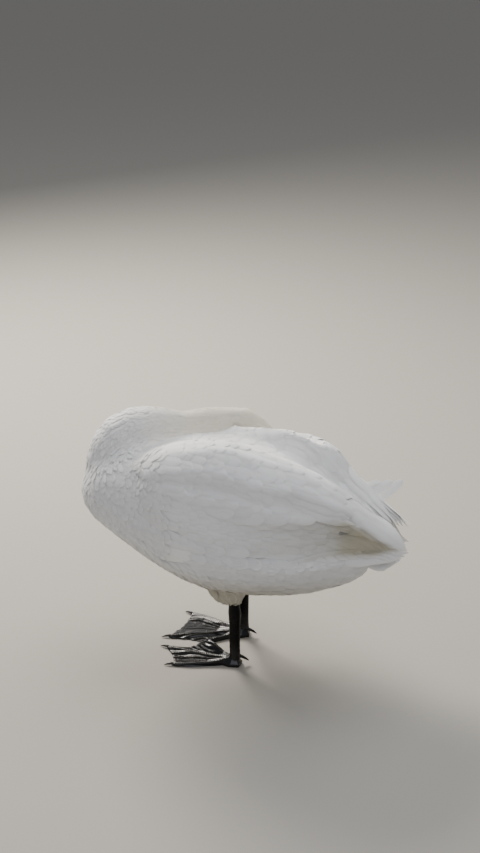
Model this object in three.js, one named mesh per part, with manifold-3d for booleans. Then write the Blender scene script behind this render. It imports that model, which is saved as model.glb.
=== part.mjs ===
// A mute swan asleep on its feet, life size, in millimetres.
// +Z is up, the breast faces -X, the tail +X and the bird's left side -Y.
// The neck is folded back over the body to the bird's right, and the bill is
// tucked under the right scapular feathers. Every solid reaches out to the
// surface of the coat, and neighbours keep a thin parting gap.

import * as THREE from "three";
import { mergeVertices } from "three/addons/utils/BufferGeometryUtils.js";
import Module from "manifold-3d";

const wasm = await Module();
wasm.setup();

// ---------------------------------------------------------------- dimensions

const GAP = 0.4; // parting gap between neighbouring pieces
const LAYER_GAP = 1.4; // gap round a layer of feathers that lies over another
const ORIGIN = new THREE.Vector3(10.3, 0, 0); // middle of the whole length, from the middle of the stance

const BREAST_X = -331; // foremost point of the breast
const VENT_X = 286; // end of the trunk under the tail

const LEG_SPREAD = 56.5; // from the midline to each leg
const LEG_STEP = 2.5; // the left leg stands this much ahead of the middle, the right behind
const ANKLE_HEIGHT = 128;
const SHANK_HEM = 150; // lowest feathers of the leg
const TARSUS_DEPTH = 25; // front to back
const TARSUS_WIDTH = 14; // side to side

const HEAD_LENGTH = 106; // nape to the feathered edge of the bill
const BILL_LENGTH = 80;
const EYE_RADIUS = 7.5;

const WHITE = 0xf1f0ec;
const CREAM = 0xece6d6;
const ORANGE = 0xd9743a;
const BLACK = 0x191817;

// ------------------------------------------------------------------- profiles

// Smooth curve through [place, value] pairs that never overshoots them.
function profile(...points) {
  const slope = points.slice(1).map(([x, v], i) => (v - points[i][1]) / (x - points[i][0]));
  const tangent = points.map((_, i) => {
    const before = slope[Math.max(i - 1, 0)];
    const after = slope[Math.min(i, slope.length - 1)];
    return before * after <= 0 ? 0 : (2 * before * after) / (before + after);
  });
  return (x) => {
    const last = points.length - 1;
    if (x <= points[0][0]) return points[0][1];
    if (x >= points[last][0]) return points[last][1];
    let i = 0;
    while (x > points[i + 1][0]) i += 1;
    const h = points[i + 1][0] - points[i][0];
    const t = (x - points[i][0]) / h;
    const a = points[i][1];
    const b = points[i + 1][1];
    return (
      a * (1 + 2 * t) * (1 - t) ** 2 +
      h * tangent[i] * t * (1 - t) ** 2 +
      b * t * t * (3 - 2 * t) +
      h * tangent[i + 1] * t * t * (t - 1)
    );
  };
}

const rad = THREE.MathUtils.degToRad;
const lerp = THREE.MathUtils.lerp;
const power = (value, exponent) => Math.sign(value) * Math.abs(value) ** exponent;
const ramp = (x, from, to) => THREE.MathUtils.smoothstep(x, from, to);

// 0 at the very end, 1 once `reach` away from it, along a quarter circle.
function roundEnd(distance, reach) {
  const t = Math.min(Math.max(distance / reach, 0.02), 1);
  return Math.sqrt(1 - (1 - t) ** 2);
}

// `count` + 1 places between two ends, closer together towards the ends.
function stations(from, to, count, even = 0.45) {
  return Array.from({ length: count + 1 }, (_, i) => {
    const t = i / count;
    return lerp(from, to, lerp((1 - Math.cos(Math.PI * t)) / 2, t, even));
  });
}

// --------------------------------------------------------------------- solids

// Closed mesh through rings of equal length; each end is closed by a fan.
function loft(rings) {
  const size = rings[0].length;
  const positions = rings.flat().flatMap((p) => [p.x, p.y, p.z]);
  const index = [];
  for (let r = 0; r + 1 < rings.length; r += 1) {
    for (let k = 0; k < size; k += 1) {
      const a = r * size + k;
      const b = r * size + ((k + 1) % size);
      index.push(a, b, b + size, a, b + size, a + size);
    }
  }
  const ends = [
    [0, 1],
    [(rings.length - 1) * size, -1],
  ];
  for (const [start, turn] of ends) {
    const middle = new THREE.Vector3();
    rings[start / size].forEach((p) => middle.addScaledVector(p, 1 / size));
    const hub = positions.length / 3;
    positions.push(middle.x, middle.y, middle.z);
    for (let k = 0; k < size; k += 1) {
      const a = start + k;
      const b = start + ((k + 1) % size);
      index.push(...(turn > 0 ? [hub, b, a] : [hub, a, b]));
    }
  }
  return faceOut(bodyOf(positions, index));
}

function bodyOf(positions, index) {
  const geometry = new THREE.BufferGeometry();
  geometry.setAttribute("position", new THREE.Float32BufferAttribute(positions, 3));
  geometry.setIndex(index);
  return mergeVertices(geometry, 1e-4);
}

// Turns a closed mesh the right way out, by the sign of its volume.
function faceOut(geometry) {
  const place = geometry.attributes.position;
  const index = geometry.index.array;
  const corner = [0, 1, 2].map(() => new THREE.Vector3());
  let volume = 0;
  for (let i = 0; i < index.length; i += 3) {
    corner.forEach((c, k) => c.fromBufferAttribute(place, index[i + k]));
    volume += corner[0].dot(corner[1].clone().cross(corner[2]));
  }
  if (volume < 0) geometry.setIndex(Array.from(index).reverse());
  return geometry;
}

function toManifold(geometry) {
  const bare = geometry.clone();
  bare.deleteAttribute("normal");
  bare.deleteAttribute("uv");
  const merged = mergeVertices(bare, 1e-4);
  return new wasm.Manifold(
    new wasm.Mesh({
      numProp: 3,
      vertProperties: new Float32Array(merged.attributes.position.array),
      triVerts: new Uint32Array(merged.index.array),
    }),
  );
}

function toGeometry(solid) {
  const mesh = solid.getMesh();
  const geometry = new THREE.BufferGeometry();
  geometry.setAttribute("position", new THREE.BufferAttribute(mesh.vertProperties, 3));
  geometry.setIndex(new THREE.BufferAttribute(mesh.triVerts, 1));
  return geometry;
}

// Every form below is a function of `swell`, by which it stands out all round.
// `seated` cuts each neighbour, swollen by the gap, out of a form and keeps the
// largest body that is left.
function seated(form, neighbours, layersAbove = []) {
  const layerCuts = layersAbove.map((other) => other(LAYER_GAP));
  const cuts = [...neighbours.map((other) => other(GAP)), ...layerCuts];
  const cut = cuts.reduce((solid, other) => solid.subtract(toManifold(other)), toManifold(form(0)));
  const bodies = cut.decompose().sort((a, b) => b.volume() - a.volume());
  return toGeometry(bodies[0]);
}

function joined(...geometries) {
  return toGeometry(geometries.map(toManifold).reduce((a, b) => a.add(b)));
}

// ---------------------------------------------------------------------- trunk

const trunkTop = profile(
  [BREAST_X, 412], [-312, 444], [-280, 474], [-240, 491], [-190, 501], [-120, 503], [0, 498],
  [80, 484], [150, 448], [200, 406], [240, 368], [VENT_X, 318],
);
const trunkBottom = profile(
  [BREAST_X, 364], [-290, 332], [-240, 295], [-190, 261], [-120, 215], [-50, 184], [30, 177],
  [110, 178], [170, 185], [220, 197], [260, 213], [VENT_X, 232],
);
const trunkHalfWidth = profile(
  [BREAST_X, 62], [-290, 90], [-240, 118], [-190, 141], [-120, 161], [-40, 170], [40, 168],
  [110, 155], [170, 130], [220, 98], [260, 68], [VENT_X, 44],
);
const trunkWaist = profile([BREAST_X, 378], [-240, 360], [-100, 330], [60, 318], [180, 306], [VENT_X, 284]);

function trunkRing(x, swell, sides = 24) {
  const reach = roundEnd(x - BREAST_X, 46) * roundEnd(VENT_X - x, 30);
  const waist = trunkWaist(x);
  const squareness = 2 / 2.15;
  return Array.from({ length: sides }, (_, k) => {
    const angle = (2 * Math.PI * (k + 0.5)) / sides;
    const up = Math.sin(angle) > 0 ? trunkTop(x) - waist : waist - trunkBottom(x);
    return new THREE.Vector3(
      x + swell * (x > 0 ? 1 - reach : reach - 1),
      (reach * trunkHalfWidth(x) + swell) * power(Math.cos(angle), squareness),
      waist + (reach * up + swell) * power(Math.sin(angle), squareness),
    );
  });
}

const trunkForm = (swell) => loft(stations(BREAST_X, VENT_X, 17).map((x) => trunkRing(x, swell)));

// ----------------------------------------------------------------------- tail

const TAIL_ROOT = new THREE.Vector3(190, 0, 300);
const TAIL_TIP = new THREE.Vector3(337, 0, 250);
const tailHalfWidth = profile([0, 46], [0.35, 58], [0.7, 50], [0.9, 30], [1, 12]);
const tailHalfDepth = profile([0, 46], [0.4, 28], [0.7, 14], [0.9, 6], [1, 2.5]);
const TAIL_DROOP = 0.0022; // how the vanes sag towards the sides

function tailRing(t, sides = 12) {
  const middle = TAIL_ROOT.clone().lerp(TAIL_TIP, t);
  const wide = tailHalfWidth(t);
  return Array.from({ length: sides }, (_, k) => {
    const angle = (2 * Math.PI * k) / sides;
    const across = wide * Math.cos(angle);
    const z = middle.z + tailHalfDepth(t) * Math.sin(angle) - TAIL_DROOP * across ** 2;
    return new THREE.Vector3(middle.x, across, z);
  });
}

const tailForm = () => loft([0, 0.25, 0.5, 0.7, 0.85, 0.94, 1].map((t) => tailRing(t)));

// ----------------------------------------------------------------------- neck

// Centre line, from inside the breast, up, over to the right and back.
const neckLine = new THREE.CatmullRomCurve3(
  [
    [-186, 0, 352], [-250, 0, 396], [-257, 2, 452], [-231, 12, 500], [-182, 29, 511],
    [-126, 52, 501], [-78, 71, 505.5], [-34, 83, 503],
  ].map((p) => new THREE.Vector3(...p)),
  false,
  "centripetal",
);
const neckRadius = profile([0, 68], [0.17, 65], [0.33, 57], [0.5, 46], [0.64, 37.5], [0.78, 31.5], [1, 31.5]);
const neckPartings = [0, 0.48, 0.74, 1];
const neckLength = neckLine.getLength();

// Directions across a tube or head: `side` to the right, `up` over its back.
function frameAlong(forward) {
  const up = new THREE.Vector3().crossVectors(forward, new THREE.Vector3(0, 1, 0)).normalize();
  const side = new THREE.Vector3().crossVectors(up, forward).normalize();
  return { up, side };
}

const NECK_SIDES = 14;

function neckRing(t, swell = 0, sides = NECK_SIDES) {
  const middle = neckLine.getPoint(t);
  const { up, side } = frameAlong(neckLine.getTangent(t));
  const radius = neckRadius(t) + swell;
  return Array.from({ length: sides }, (_, k) => {
    const angle = (2 * Math.PI * k) / sides;
    return middle
      .clone()
      .addScaledVector(side, radius * Math.cos(angle))
      .addScaledVector(up, radius * Math.sin(angle));
  });
}

// The neck between two of its partings, half a gap short of each.
function neckForm(part, count) {
  return (swell) => {
    const short = (0.5 * GAP - swell) / neckLength;
    const from = Math.max(neckPartings[part] + short, 0);
    const to = Math.min(neckPartings[part + 1] - short, 1);
    const rings = Array.from({ length: count + 1 }, (_, i) => neckRing(lerp(from, to, i / count), swell));
    return loft(rings);
  };
}

const neckForms = { base: neckForm(0, 7), middle: neckForm(1, 4), upper: neckForm(2, 4) };

// ----------------------------------------------------------------------- head

const HEAD_PLACE = new THREE.Vector3(12, 86, 493); // middle of the skull
const HEAD_PITCH = -20; // degrees, bill down
const HEAD_YAW = -14; // degrees, bill towards the back
const headForward = new THREE.Vector3(1, 0, 0)
  .applyAxisAngle(new THREE.Vector3(0, 1, 0), rad(-HEAD_PITCH))
  .applyAxisAngle(new THREE.Vector3(0, 0, 1), rad(HEAD_YAW));
const headFrame = frameAlong(headForward);

// Point of the head: `along` the skull, to its left and up, from its middle.
function onHead(along, left, up) {
  return HEAD_PLACE.clone()
    .addScaledVector(headForward, along)
    .addScaledVector(headFrame.side, left)
    .addScaledVector(headFrame.up, up);
}

const NAPE = -46;
const BILL_BASE = NAPE + HEAD_LENGTH;
const headTop = profile([NAPE, 29], [-14, 32], [12, 29], [36, 23], [BILL_BASE, 15]);
const headBottom = profile([NAPE, 30], [-18, 31], [6, 30], [28, 25], [46, 18], [BILL_BASE, 13]);
const headHalfWidth = profile([NAPE, 29], [-14, 30], [10, 27], [32, 20], [48, 15], [BILL_BASE, 12.5]);

function headRing(along, swell = 0, sides = NECK_SIDES) {
  return Array.from({ length: sides }, (_, k) => {
    const angle = (2 * Math.PI * k) / sides;
    const tall = (Math.sin(angle) > 0 ? headTop(along) : headBottom(along)) + swell;
    return onHead(along, (headHalfWidth(along) + swell) * Math.cos(angle), tall * Math.sin(angle));
  });
}

function headForm(swell) {
  const places = [-26, -10, 6, 20, 32, 43, 53, BILL_BASE + swell];
  return loft([neckRing(1, swell), ...places.map((along) => headRing(along, swell))]);
}

// ----------------------------------------------------------------------- bill

const billHalfWidth = profile([0, 12.5], [0.35, 11], [0.75, 12.8], [0.93, 9.5], [1, 4]);
const billTop = profile([0, 14.5], [0.25, 8], [0.6, 3.6], [0.9, 2.2], [1, -1.5]);
const GAPE_LINE = -5; // where the bill closes, below the skull's middle line
const lowerDepth = profile([0, 8], [0.5, 5], [0.9, 2.6], [1, 1.4]);
const billPlaces = [0, 0.18, 0.42, 0.7, 0.9, 1];

// A half of the bill between two heights, `length` long and `narrow` of its width.
function billForm(topOf, bottomOf, length, narrow, sides = 8) {
  return (swell) =>
    loft(
      billPlaces.map((t) =>
        Array.from({ length: sides }, (_, k) => {
          const angle = (2 * Math.PI * k) / sides;
          const middle = (topOf(t) + bottomOf(t)) / 2;
          const half = (topOf(t) - bottomOf(t)) / 2 + swell;
          return onHead(
            BILL_BASE + GAP + t * length + swell * (2 * t - 1),
            (narrow * billHalfWidth(t) + swell) * power(Math.cos(angle), 0.8),
            middle + half * power(Math.sin(angle), 0.8),
          );
        }),
      ),
    );
}

const upperBillForm = billForm(billTop, () => GAPE_LINE, BILL_LENGTH, 1);
const lowerGape = GAPE_LINE - GAP;
const lowerBillForm = billForm(() => lowerGape, (t) => lowerGape - lowerDepth(t), 0.96 * BILL_LENGTH, 0.86);

function bare(geometry) {
  geometry.deleteAttribute("normal");
  geometry.deleteAttribute("uv");
  return mergeVertices(geometry, 1e-4);
}

// Black knob over the root of the bill.
function knobForm(swell) {
  const knob = new THREE.SphereGeometry(1, 9, 6);
  knob.scale(13 + swell, 9.5 + swell, 8.5 + swell);
  knob.applyMatrix4(new THREE.Matrix4().makeBasis(headForward, headFrame.side, headFrame.up));
  const place = onHead(BILL_BASE + 5, 0, 14);
  knob.translate(place.x, place.y, place.z);
  return faceOut(bare(knob));
}

function eyeForm(side) {
  return (swell) => {
    const eye = new THREE.SphereGeometry(EYE_RADIUS + swell, 9, 6);
    const place = onHead(25, side * 17, 8);
    eye.translate(place.x, place.y, place.z);
    return faceOut(bare(eye));
  };
}

const eyeForms = { left: eyeForm(1), right: eyeForm(-1) };
const faceForms = [headForm, upperBillForm, lowerBillForm, knobForm, eyeForms.left, eyeForms.right];

// ---------------------------------------------------------------------- wings

// The outer surface of a folded wing, as sections across the body. Each section
// runs from the back's midline up to the dome of the shoulder feathers, out to
// the flank and under to the wing's lower edge.
const WING_FRONT = -205;
const WING_TIP = 352;

const wingShared = {
  halfWidth: profile(
    [WING_FRONT, 128], [-150, 156], [-90, 171], [0, 177], [80, 170], [150, 148], [200, 124],
    [250, 94], [300, 62], [WING_TIP, 28],
  ),
  flank: profile(
    [WING_FRONT, 405], [-100, 380], [0, 362], [120, 352], [220, 336], [300, 312], [WING_TIP, 286],
  ),
  hem: profile(
    [WING_FRONT, 350], [-120, 320], [20, 312], [60, 307], [140, 299], [200, 295], [274, 281],
    [WING_TIP, 262],
  ),
};

const wings = {
  left: {
    sign: -1,
    ...wingShared,
    dome: profile(
      [WING_FRONT, 478], [-150, 511], [-100, 525], [-30, 535], [50, 512], [130, 478], [200, 436],
      [250, 393], [291, 353], [316, 328], [WING_TIP, 292],
    ),
    domeAt: profile([WING_FRONT, 60], [-60, 84], [60, 80], [160, 66], [250, 44], [WING_TIP, 18]),
    valley: profile(
      [WING_FRONT, 470], [-100, 496], [0, 488], [100, 462], [200, 420], [300, 336], [WING_TIP, 286],
    ),
  },
  right: {
    sign: 1,
    ...wingShared,
    dome: profile(
      [WING_FRONT, 470], [-150, 494], [-60, 499], [60, 502], [130, 497], [166, 486], [197, 463],
      [222, 430], [250, 396], [300, 362], [WING_TIP, 318],
    ),
    domeAt: profile([WING_FRONT, 60], [-120, 40], [0, 46], [140, 52], [220, 48], [300, 34], [WING_TIP, 27]),
    valley: profile(
      [WING_FRONT, 466], [-100, 492], [0, 488], [100, 470], [200, 424], [300, 344], [WING_TIP, 308],
    ),
  },
};

const DOME_AT = 0.3; // share of the section from the midline to the dome
const FLANK_AT = 0.66; // share of the section from the midline to the flank
const HEM_TUCK = 0.14; // how far the lower edge lies in from the flank
const MIDLINE = 1.5; // each wing's inner edge, from the body's midline
const SECTION_LENGTH = 320; // of a mid-wing section

function wingPoint(wing, x, s) {
  const wide = wing.halfWidth(x);
  const domeY = wing.domeAt(x);
  const domeZ = wing.dome(x);
  const flankZ = wing.flank(x);
  const quarter = Math.PI / 2;
  let y;
  let z;
  if (s < DOME_AT) {
    const t = s / DOME_AT;
    y = lerp(MIDLINE, domeY, t);
    z = lerp(wing.valley(x), domeZ, Math.sin(t * quarter));
  } else if (s < FLANK_AT) {
    const t = (s - DOME_AT) / (FLANK_AT - DOME_AT);
    y = lerp(domeY, wide, Math.sin(t * quarter));
    z = lerp(flankZ, domeZ, Math.cos(t * quarter));
  } else {
    const t = (s - FLANK_AT) / (1 - FLANK_AT);
    y = wide * (1 - HEM_TUCK * (1 - Math.cos(t * quarter)));
    z = lerp(flankZ, wing.hem(x), Math.sin(t * quarter));
  }
  return new THREE.Vector3(x, wing.sign * y, z);
}

function wingNormal(wing, x, s) {
  const step = 0.02;
  const along = wingPoint(wing, x + 4, s).sub(wingPoint(wing, x - 4, s));
  const across = wingPoint(wing, x, Math.min(s + step, 1)).sub(wingPoint(wing, x, Math.max(s - step, 0)));
  return along.cross(across).multiplyScalar(wing.sign).normalize();
}

// A layer of feathers on the wing: it runs from `from` to `to` along the body,
// between the shares `inner` and `outer` of the section, `lift` above the wing's
// surface and `thick` deep, with rounded rims.
function layerForm(wing, { from, to, inner, outer, lift, thick, count = 9, across = 5 }) {
  return (swell) => {
    const margin = (3 * swell) / SECTION_LENGTH;
    const rings = stations(from, to, count, 0.6).map((x, i) => {
      const end = roundEnd(x - from, 26) * roundEnd(to - x, 20);
      const deep = thick(x) * (0.35 + 0.65 * end) + 2 * swell;
      const a = inner(x) - margin;
      const b = outer(x) + margin;
      const place = x + 2 * swell * (i === 0 ? -1 : i === count ? 1 : 0);
      const point = (s, depth) =>
        wingPoint(wing, place, s).addScaledVector(wingNormal(wing, x, s), lift(x) + swell - depth);
      const ring = [];
      for (let k = 0; k <= across; k += 1) {
        const t = k / across;
        const rim = 0.5 * (1 - Math.sqrt(1 - (2 * t - 1) ** 4));
        ring.push(point(lerp(a, b, t), deep * rim));
      }
      for (let k = across - 1; k > 0; k -= 1) ring.push(point(lerp(a, b, k / across), deep));
      return ring;
    });
    return loft(rings);
  };
}

const layers = {
  scapulars: {
    from: -198,
    to: 226,
    count: 11,
    lift: profile([-198, 0], [0, 1], [226, 2]),
    thick: profile([-198, 24], [-60, 46], [110, 38], [170, 24], [226, 9]),
    inner: profile([-198, 0.3], [-150, 0.06], [60, 0.01], [150, 0.01], [190, 0.12], [226, 0.4]),
    outer: profile(
      [-198, 0.44], [-182, 0.55], [-100, 0.565], [-20, 0.565], [30, 0.58], [80, 0.565], [137, 0.535],
      [203, 0.51], [226, 0.46],
    ),
  },
  tertials: {
    from: 150,
    to: 338,
    lift: () => -3,
    thick: profile([150, 22], [190, 20], [250, 11], [338, 4]),
    inner: profile([150, 0.02], [180, 0.005], [300, 0.005], [338, 0.2]),
    outer: profile([150, 0.46], [200, 0.5], [222, 0.49], [300, 0.47], [338, 0.4]),
  },
  coverts: {
    from: -188,
    to: 300,
    lift: profile([-188, -4], [100, -8], [300, -6]),
    thick: profile([-188, 14], [60, 18], [220, 12], [300, 5]),
    inner: profile([-188, 0.5], [-120, 0.42], [200, 0.44], [300, 0.5]),
    outer: profile([-188, 0.7], [-120, 0.94], [-20, 0.99], [220, 0.97], [300, 0.84]),
  },
};

// The flight feathers close to a point, lower on the left than on the right.
const primaries = {
  from: 120,
  to: WING_TIP,
  lift: profile([120, -14], [300, -8], [WING_TIP, -2]),
  thick: profile([120, 10], [300, 7], [WING_TIP, 3]),
};
const primariesOn = {
  left: {
    ...primaries,
    inner: profile([120, 0.6], [260, 0.3], [316, 0.3], [336, 0.45], [WING_TIP, 0.62]),
    outer: profile([120, 0.9], [200, 0.99], [320, 0.99], [340, 0.9], [WING_TIP, 0.7]),
  },
  right: {
    ...primaries,
    inner: profile([120, 0.6], [260, 0.3], [320, 0.2], [WING_TIP, 0.26]),
    outer: profile([120, 0.9], [200, 0.99], [300, 0.95], [330, 0.66], [WING_TIP, 0.34]),
  },
};

const layerNames = ["scapulars", "tertials", "coverts", "primaries"]; // outermost first
const wingForms = { left: {}, right: {} };
for (const [side, wing] of Object.entries(wings)) {
  const shapes = { ...layers, primaries: primariesOn[side] };
  for (const name of layerNames) wingForms[side][name] = layerForm(wing, shapes[name]);
}

// A layer of the wing, less what lies over and under it.
function wingPiece(side, name) {
  const above = layerNames.slice(0, layerNames.indexOf(name)).map((layer) => wingForms[side][layer]);
  const tucked = side === "right" ? faceForms : [];
  return seated(wingForms[side][name], [trunkForm, ...Object.values(neckForms), ...tucked], above);
}

// Single feather from `root` to `tip`, flat towards the left and up.
function vane(root, tip, halfWidth = 10, thick = 1.4, sides = 6) {
  const forward = tip.clone().sub(root);
  const face = new THREE.Vector3(0, -1, 0.45);
  const across = new THREE.Vector3().crossVectors(forward, face).normalize();
  const through = new THREE.Vector3().crossVectors(across, forward).normalize();
  const outline = profile([0, 0.5], [0.4, 1], [0.75, 0.8], [1, 0.08]);
  return loft(
    [0, 0.3, 0.6, 0.85, 1].map((t) =>
      Array.from({ length: sides }, (_, k) => {
        const angle = (2 * Math.PI * k) / sides;
        return root
          .clone()
          .addScaledVector(forward, t)
          .addScaledVector(across, halfWidth * outline(t) * Math.cos(angle))
          .addScaledVector(through, thick * 0.5 * Math.sin(angle) * (t < 1 ? 1 : 0.5));
      }),
    ),
  );
}

// Loose tertials of the right wing, which stand up clear of the back.
const looseTertials = [
  [[246, 42, 384], [287, 56, 396]], [[262, 40, 374], [311, 58, 400]], [[280, 38, 362], [332, 62, 402]],
];

// ----------------------------------------------------------------------- legs

const sideSign = { left: -1, right: 1 };

function legPlace(side) {
  return new THREE.Vector3(sideSign[side] * LEG_STEP, sideSign[side] * LEG_SPREAD, 0);
}

// Upright form through [x, z, depth, width] sections at a leg's place.
function uprightForm(side, sections, sides) {
  const place = legPlace(side);
  return (swell) =>
    loft(
      sections.map(([x, z, deep, wide]) =>
        Array.from({ length: sides }, (_, k) => {
          const angle = (2 * Math.PI * k) / sides;
          return new THREE.Vector3(
            place.x + x + (deep / 2 + swell) * Math.cos(angle),
            place.y + (wide / 2 + swell) * Math.sin(angle),
            z,
          );
        }),
      ),
    );
}

const shankForm = (side) =>
  uprightForm(
    side,
    [
      [-8, 240, 118, 82], [-9, 205, 94, 66], [-8, 180, 66, 50],
      [-5, 163, 46, 36], [-3, SHANK_HEM + 3, 34, 27], [-2, SHANK_HEM, 26, 20],
    ],
    12,
  );

const tarsusForm = (side) =>
  uprightForm(
    side,
    [
      [1, 7, 22, 16], [1, 22, 23, 17], [0, 42, TARSUS_DEPTH - 2, TARSUS_WIDTH - 1],
      [0, 100, TARSUS_DEPTH - 1, TARSUS_WIDTH - 1], [0, ANKLE_HEIGHT, TARSUS_DEPTH + 3, TARSUS_WIDTH + 4],
      [-1, 143, TARSUS_DEPTH, TARSUS_WIDTH + 2], [-2, 176, TARSUS_DEPTH - 3, TARSUS_WIDTH],
    ],
    10,
  );

// The short hind toe, which hangs clear of the ground.
function hindToeForm(side) {
  const place = legPlace(side);
  const inward = -5 * sideSign[side];
  const sections = [
    [6, 20, 8], [15, 17, 7], [23, 13, 5.5], [30, 8, 2.4],
  ];
  return (swell) =>
    loft(
      sections.map(([x, z, thick]) =>
        Array.from({ length: 6 }, (_, k) => {
          const angle = (2 * Math.PI * k) / 6;
          const radius = thick / 2 + swell;
          return new THREE.Vector3(
            place.x + x + 0.5 * radius * Math.sin(angle),
            place.y + inward + radius * Math.cos(angle),
            z + radius * Math.sin(angle),
          );
        }),
      ),
    );
}

// ----------------------------------------------------------------------- feet

// Toes of each foot: heading from straight ahead (positive to the bird's left)
// and length to the root of the claw.
const toes = {
  left: { outer: [9, 136], middle: [-15, 160], inner: [-42, 92] },
  right: { inner: [30, 96], middle: [11, 166], outer: [-27, 144] },
};
const toeNames = ["outer", "middle", "inner"];
const TOE_WIDTH = 7;
const TOE_BOW = 4; // degrees by which the outer toe curves out midway
const WEB_THICKNESS = 2.6;
const WEB_SAG = 0.035; // how far a web's edge hangs back behind a line from claw to claw
const HEEL_RADIUS = 17;
const STEP_HEIGHT = 11.5; // the left foot's inner toe is set down on the right foot's

function toeLift(side, heading, radius) {
  if (side === "right") return 0;
  const [middle] = toes.left.middle;
  const [inner] = toes.left.inner;
  return STEP_HEIGHT * ramp((heading - middle) / (inner - middle), 0.25, 0.95) * ramp(radius, 34, 76);
}

// Headings of a foot's spokes: three on each toe, some on each web, some behind.
function spokes(fan) {
  const headings = fan.flatMap(([heading], i) => {
    const onToe = [-2.6, 0, 2.6].map((turn) => heading + turn);
    const onWeb = i + 1 < fan.length ? [0.32, 0.5, 0.68].map((t) => lerp(heading, fan[i + 1][0], t)) : [];
    return [...onToe, ...onWeb];
  });
  const last = headings[headings.length - 1];
  const around = 360 - (last - headings[0]);
  const behind = [0.03, 0.15, 0.38, 0.62, 0.85, 0.97].map((t) => last + around * t);
  return { headings, last, around, behind };
}

// Distance from the hub to the straight line between two toes' ends.
function chord([headingA, a], [headingB, b], heading) {
  const whole = Math.sin(rad(headingB - headingA));
  return (a * b * whole) / (a * Math.sin(rad(heading - headingA)) + b * Math.sin(rad(headingB - heading)));
}

function footForm(side) {
  const fan = toeNames.map((name) => toes[side][name]).sort((a, b) => a[0] - b[0]);
  const outerAt = toes[side].outer[0];
  const { headings, last, around, behind } = spokes(fan);
  const reach = (heading) => {
    if (heading > last) {
      const t = (heading - last) / around;
      return HEEL_RADIUS + 22 * (Math.exp(-t / 0.04) + Math.exp(-(1 - t) / 0.04));
    }
    const toe = fan.find(([at]) => Math.abs(heading - at) < 3);
    if (toe) return toe[1] - (Math.abs(heading - toe[0]) > 1 ? TOE_WIDTH : 0);
    const i = fan.findLastIndex(([at]) => heading > at);
    const t = (heading - fan[i][0]) / (fan[i + 1][0] - fan[i][0]);
    return (chord(fan[i], fan[i + 1], heading) - 4) * (1 - WEB_SAG * Math.sin(Math.PI * t));
  };
  const thickness = (heading, radius) => {
    const hub = 15 * Math.exp(-((radius / 17) ** 2));
    const ridges = fan.map(([at, length]) => {
      const off = radius * Math.sin(rad(Math.min(Math.abs(heading - at), 90)));
      return lerp(9.5, 5.5, Math.min(radius / length, 1)) * Math.exp(-((off / TOE_WIDTH) ** 2));
    });
    return WEB_THICKNESS + hub + Math.max(...ridges);
  };
  // The outer toe, and the web by it, curve outwards between the hub and the claw.
  const bow = (heading, share) => {
    const nearOuter = Math.exp(-(((heading - outerAt) / 14) ** 2));
    return heading > last ? 0 : -sideSign[side] * TOE_BOW * nearOuter * Math.sin(Math.PI * share);
  };
  const shares = [0.14, 0.42, 0.74, 1];
  const all = [...headings, ...behind];
  const hub = legPlace(side);
  const sheet = (raised) => [
    ...all.flatMap((heading) =>
      shares.map((share) => {
        const radius = share * reach(heading);
        const lift = heading > last ? 0 : toeLift(side, heading, radius);
        const thick = raised * thickness(heading, radius) * (share === 1 ? 0.8 : 1);
        const turn = rad(heading + bow(heading, share));
        return new THREE.Vector3(-radius * Math.cos(turn), -radius * Math.sin(turn), lift + thick).add(hub);
      }),
    ),
    hub.clone().setZ(raised * thickness(0, 0)),
  ];
  return () => closedDisc(sheet(1), sheet(0), all.length, shares.length);
}

// Closes two fans of `spokeCount` spokes with `ringCount` rings, each ending in its hub.
function closedDisc(top, sole, spokeCount, ringCount) {
  const hub = spokeCount * ringCount;
  const below = top.length;
  const index = [];
  for (let i = 0; i < spokeCount; i += 1) {
    const a = i * ringCount;
    const b = ((i + 1) % spokeCount) * ringCount;
    index.push(hub, a, b, below + hub, below + b, below + a);
    for (let k = 0; k + 1 < ringCount; k += 1) {
      index.push(a + k, a + k + 1, b + k + 1, a + k, b + k + 1, b + k);
      index.push(below + a + k, below + b + k + 1, below + a + k + 1);
      index.push(below + a + k, below + b + k, below + b + k + 1);
    }
    const rimA = a + ringCount - 1;
    const rimB = b + ringCount - 1;
    index.push(rimA, below + rimA, below + rimB, rimA, below + rimB, rimB);
  }
  return faceOut(bodyOf([...top, ...sole].flatMap((p) => [p.x, p.y, p.z]), index));
}

function clawForm(side, name) {
  const [heading, length] = toes[side][name];
  const sections = [
    [-5, 4.8, 6.4], [2, 4.8, 6], [8, 3.8, 4.2], [15, 1.7, 1.2],
  ];
  const ahead = new THREE.Vector3(-Math.cos(rad(heading)), -Math.sin(rad(heading)), 0);
  const across = new THREE.Vector3(-ahead.y, ahead.x, 0);
  const root = legPlace(side).setZ(toeLift(side, heading, length));
  return (swell) =>
    loft(
      sections.map(([along, z, size], i) =>
        Array.from({ length: 6 }, (_, k) => {
          const angle = (2 * Math.PI * (k + 0.5)) / 6;
          const radius = size / 2 + swell;
          return root
            .clone()
            .addScaledVector(ahead, length + along - (i === 0 ? swell : 0))
            .addScaledVector(across, radius * Math.cos(angle))
            .add(new THREE.Vector3(0, 0, z + 1.1 * radius * Math.sin(angle)));
        }),
      ),
    );
}

// ------------------------------------------------------------------- assembly

const swan = new THREE.Group();
swan.position.copy(ORIGIN).negate();

function addPiece(name, geometry, color, roughness) {
  geometry.computeVertexNormals();
  const mesh = new THREE.Mesh(geometry, new THREE.MeshStandardMaterial({ color, roughness, metalness: 0 }));
  mesh.name = name;
  swan.add(mesh);
}

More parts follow.
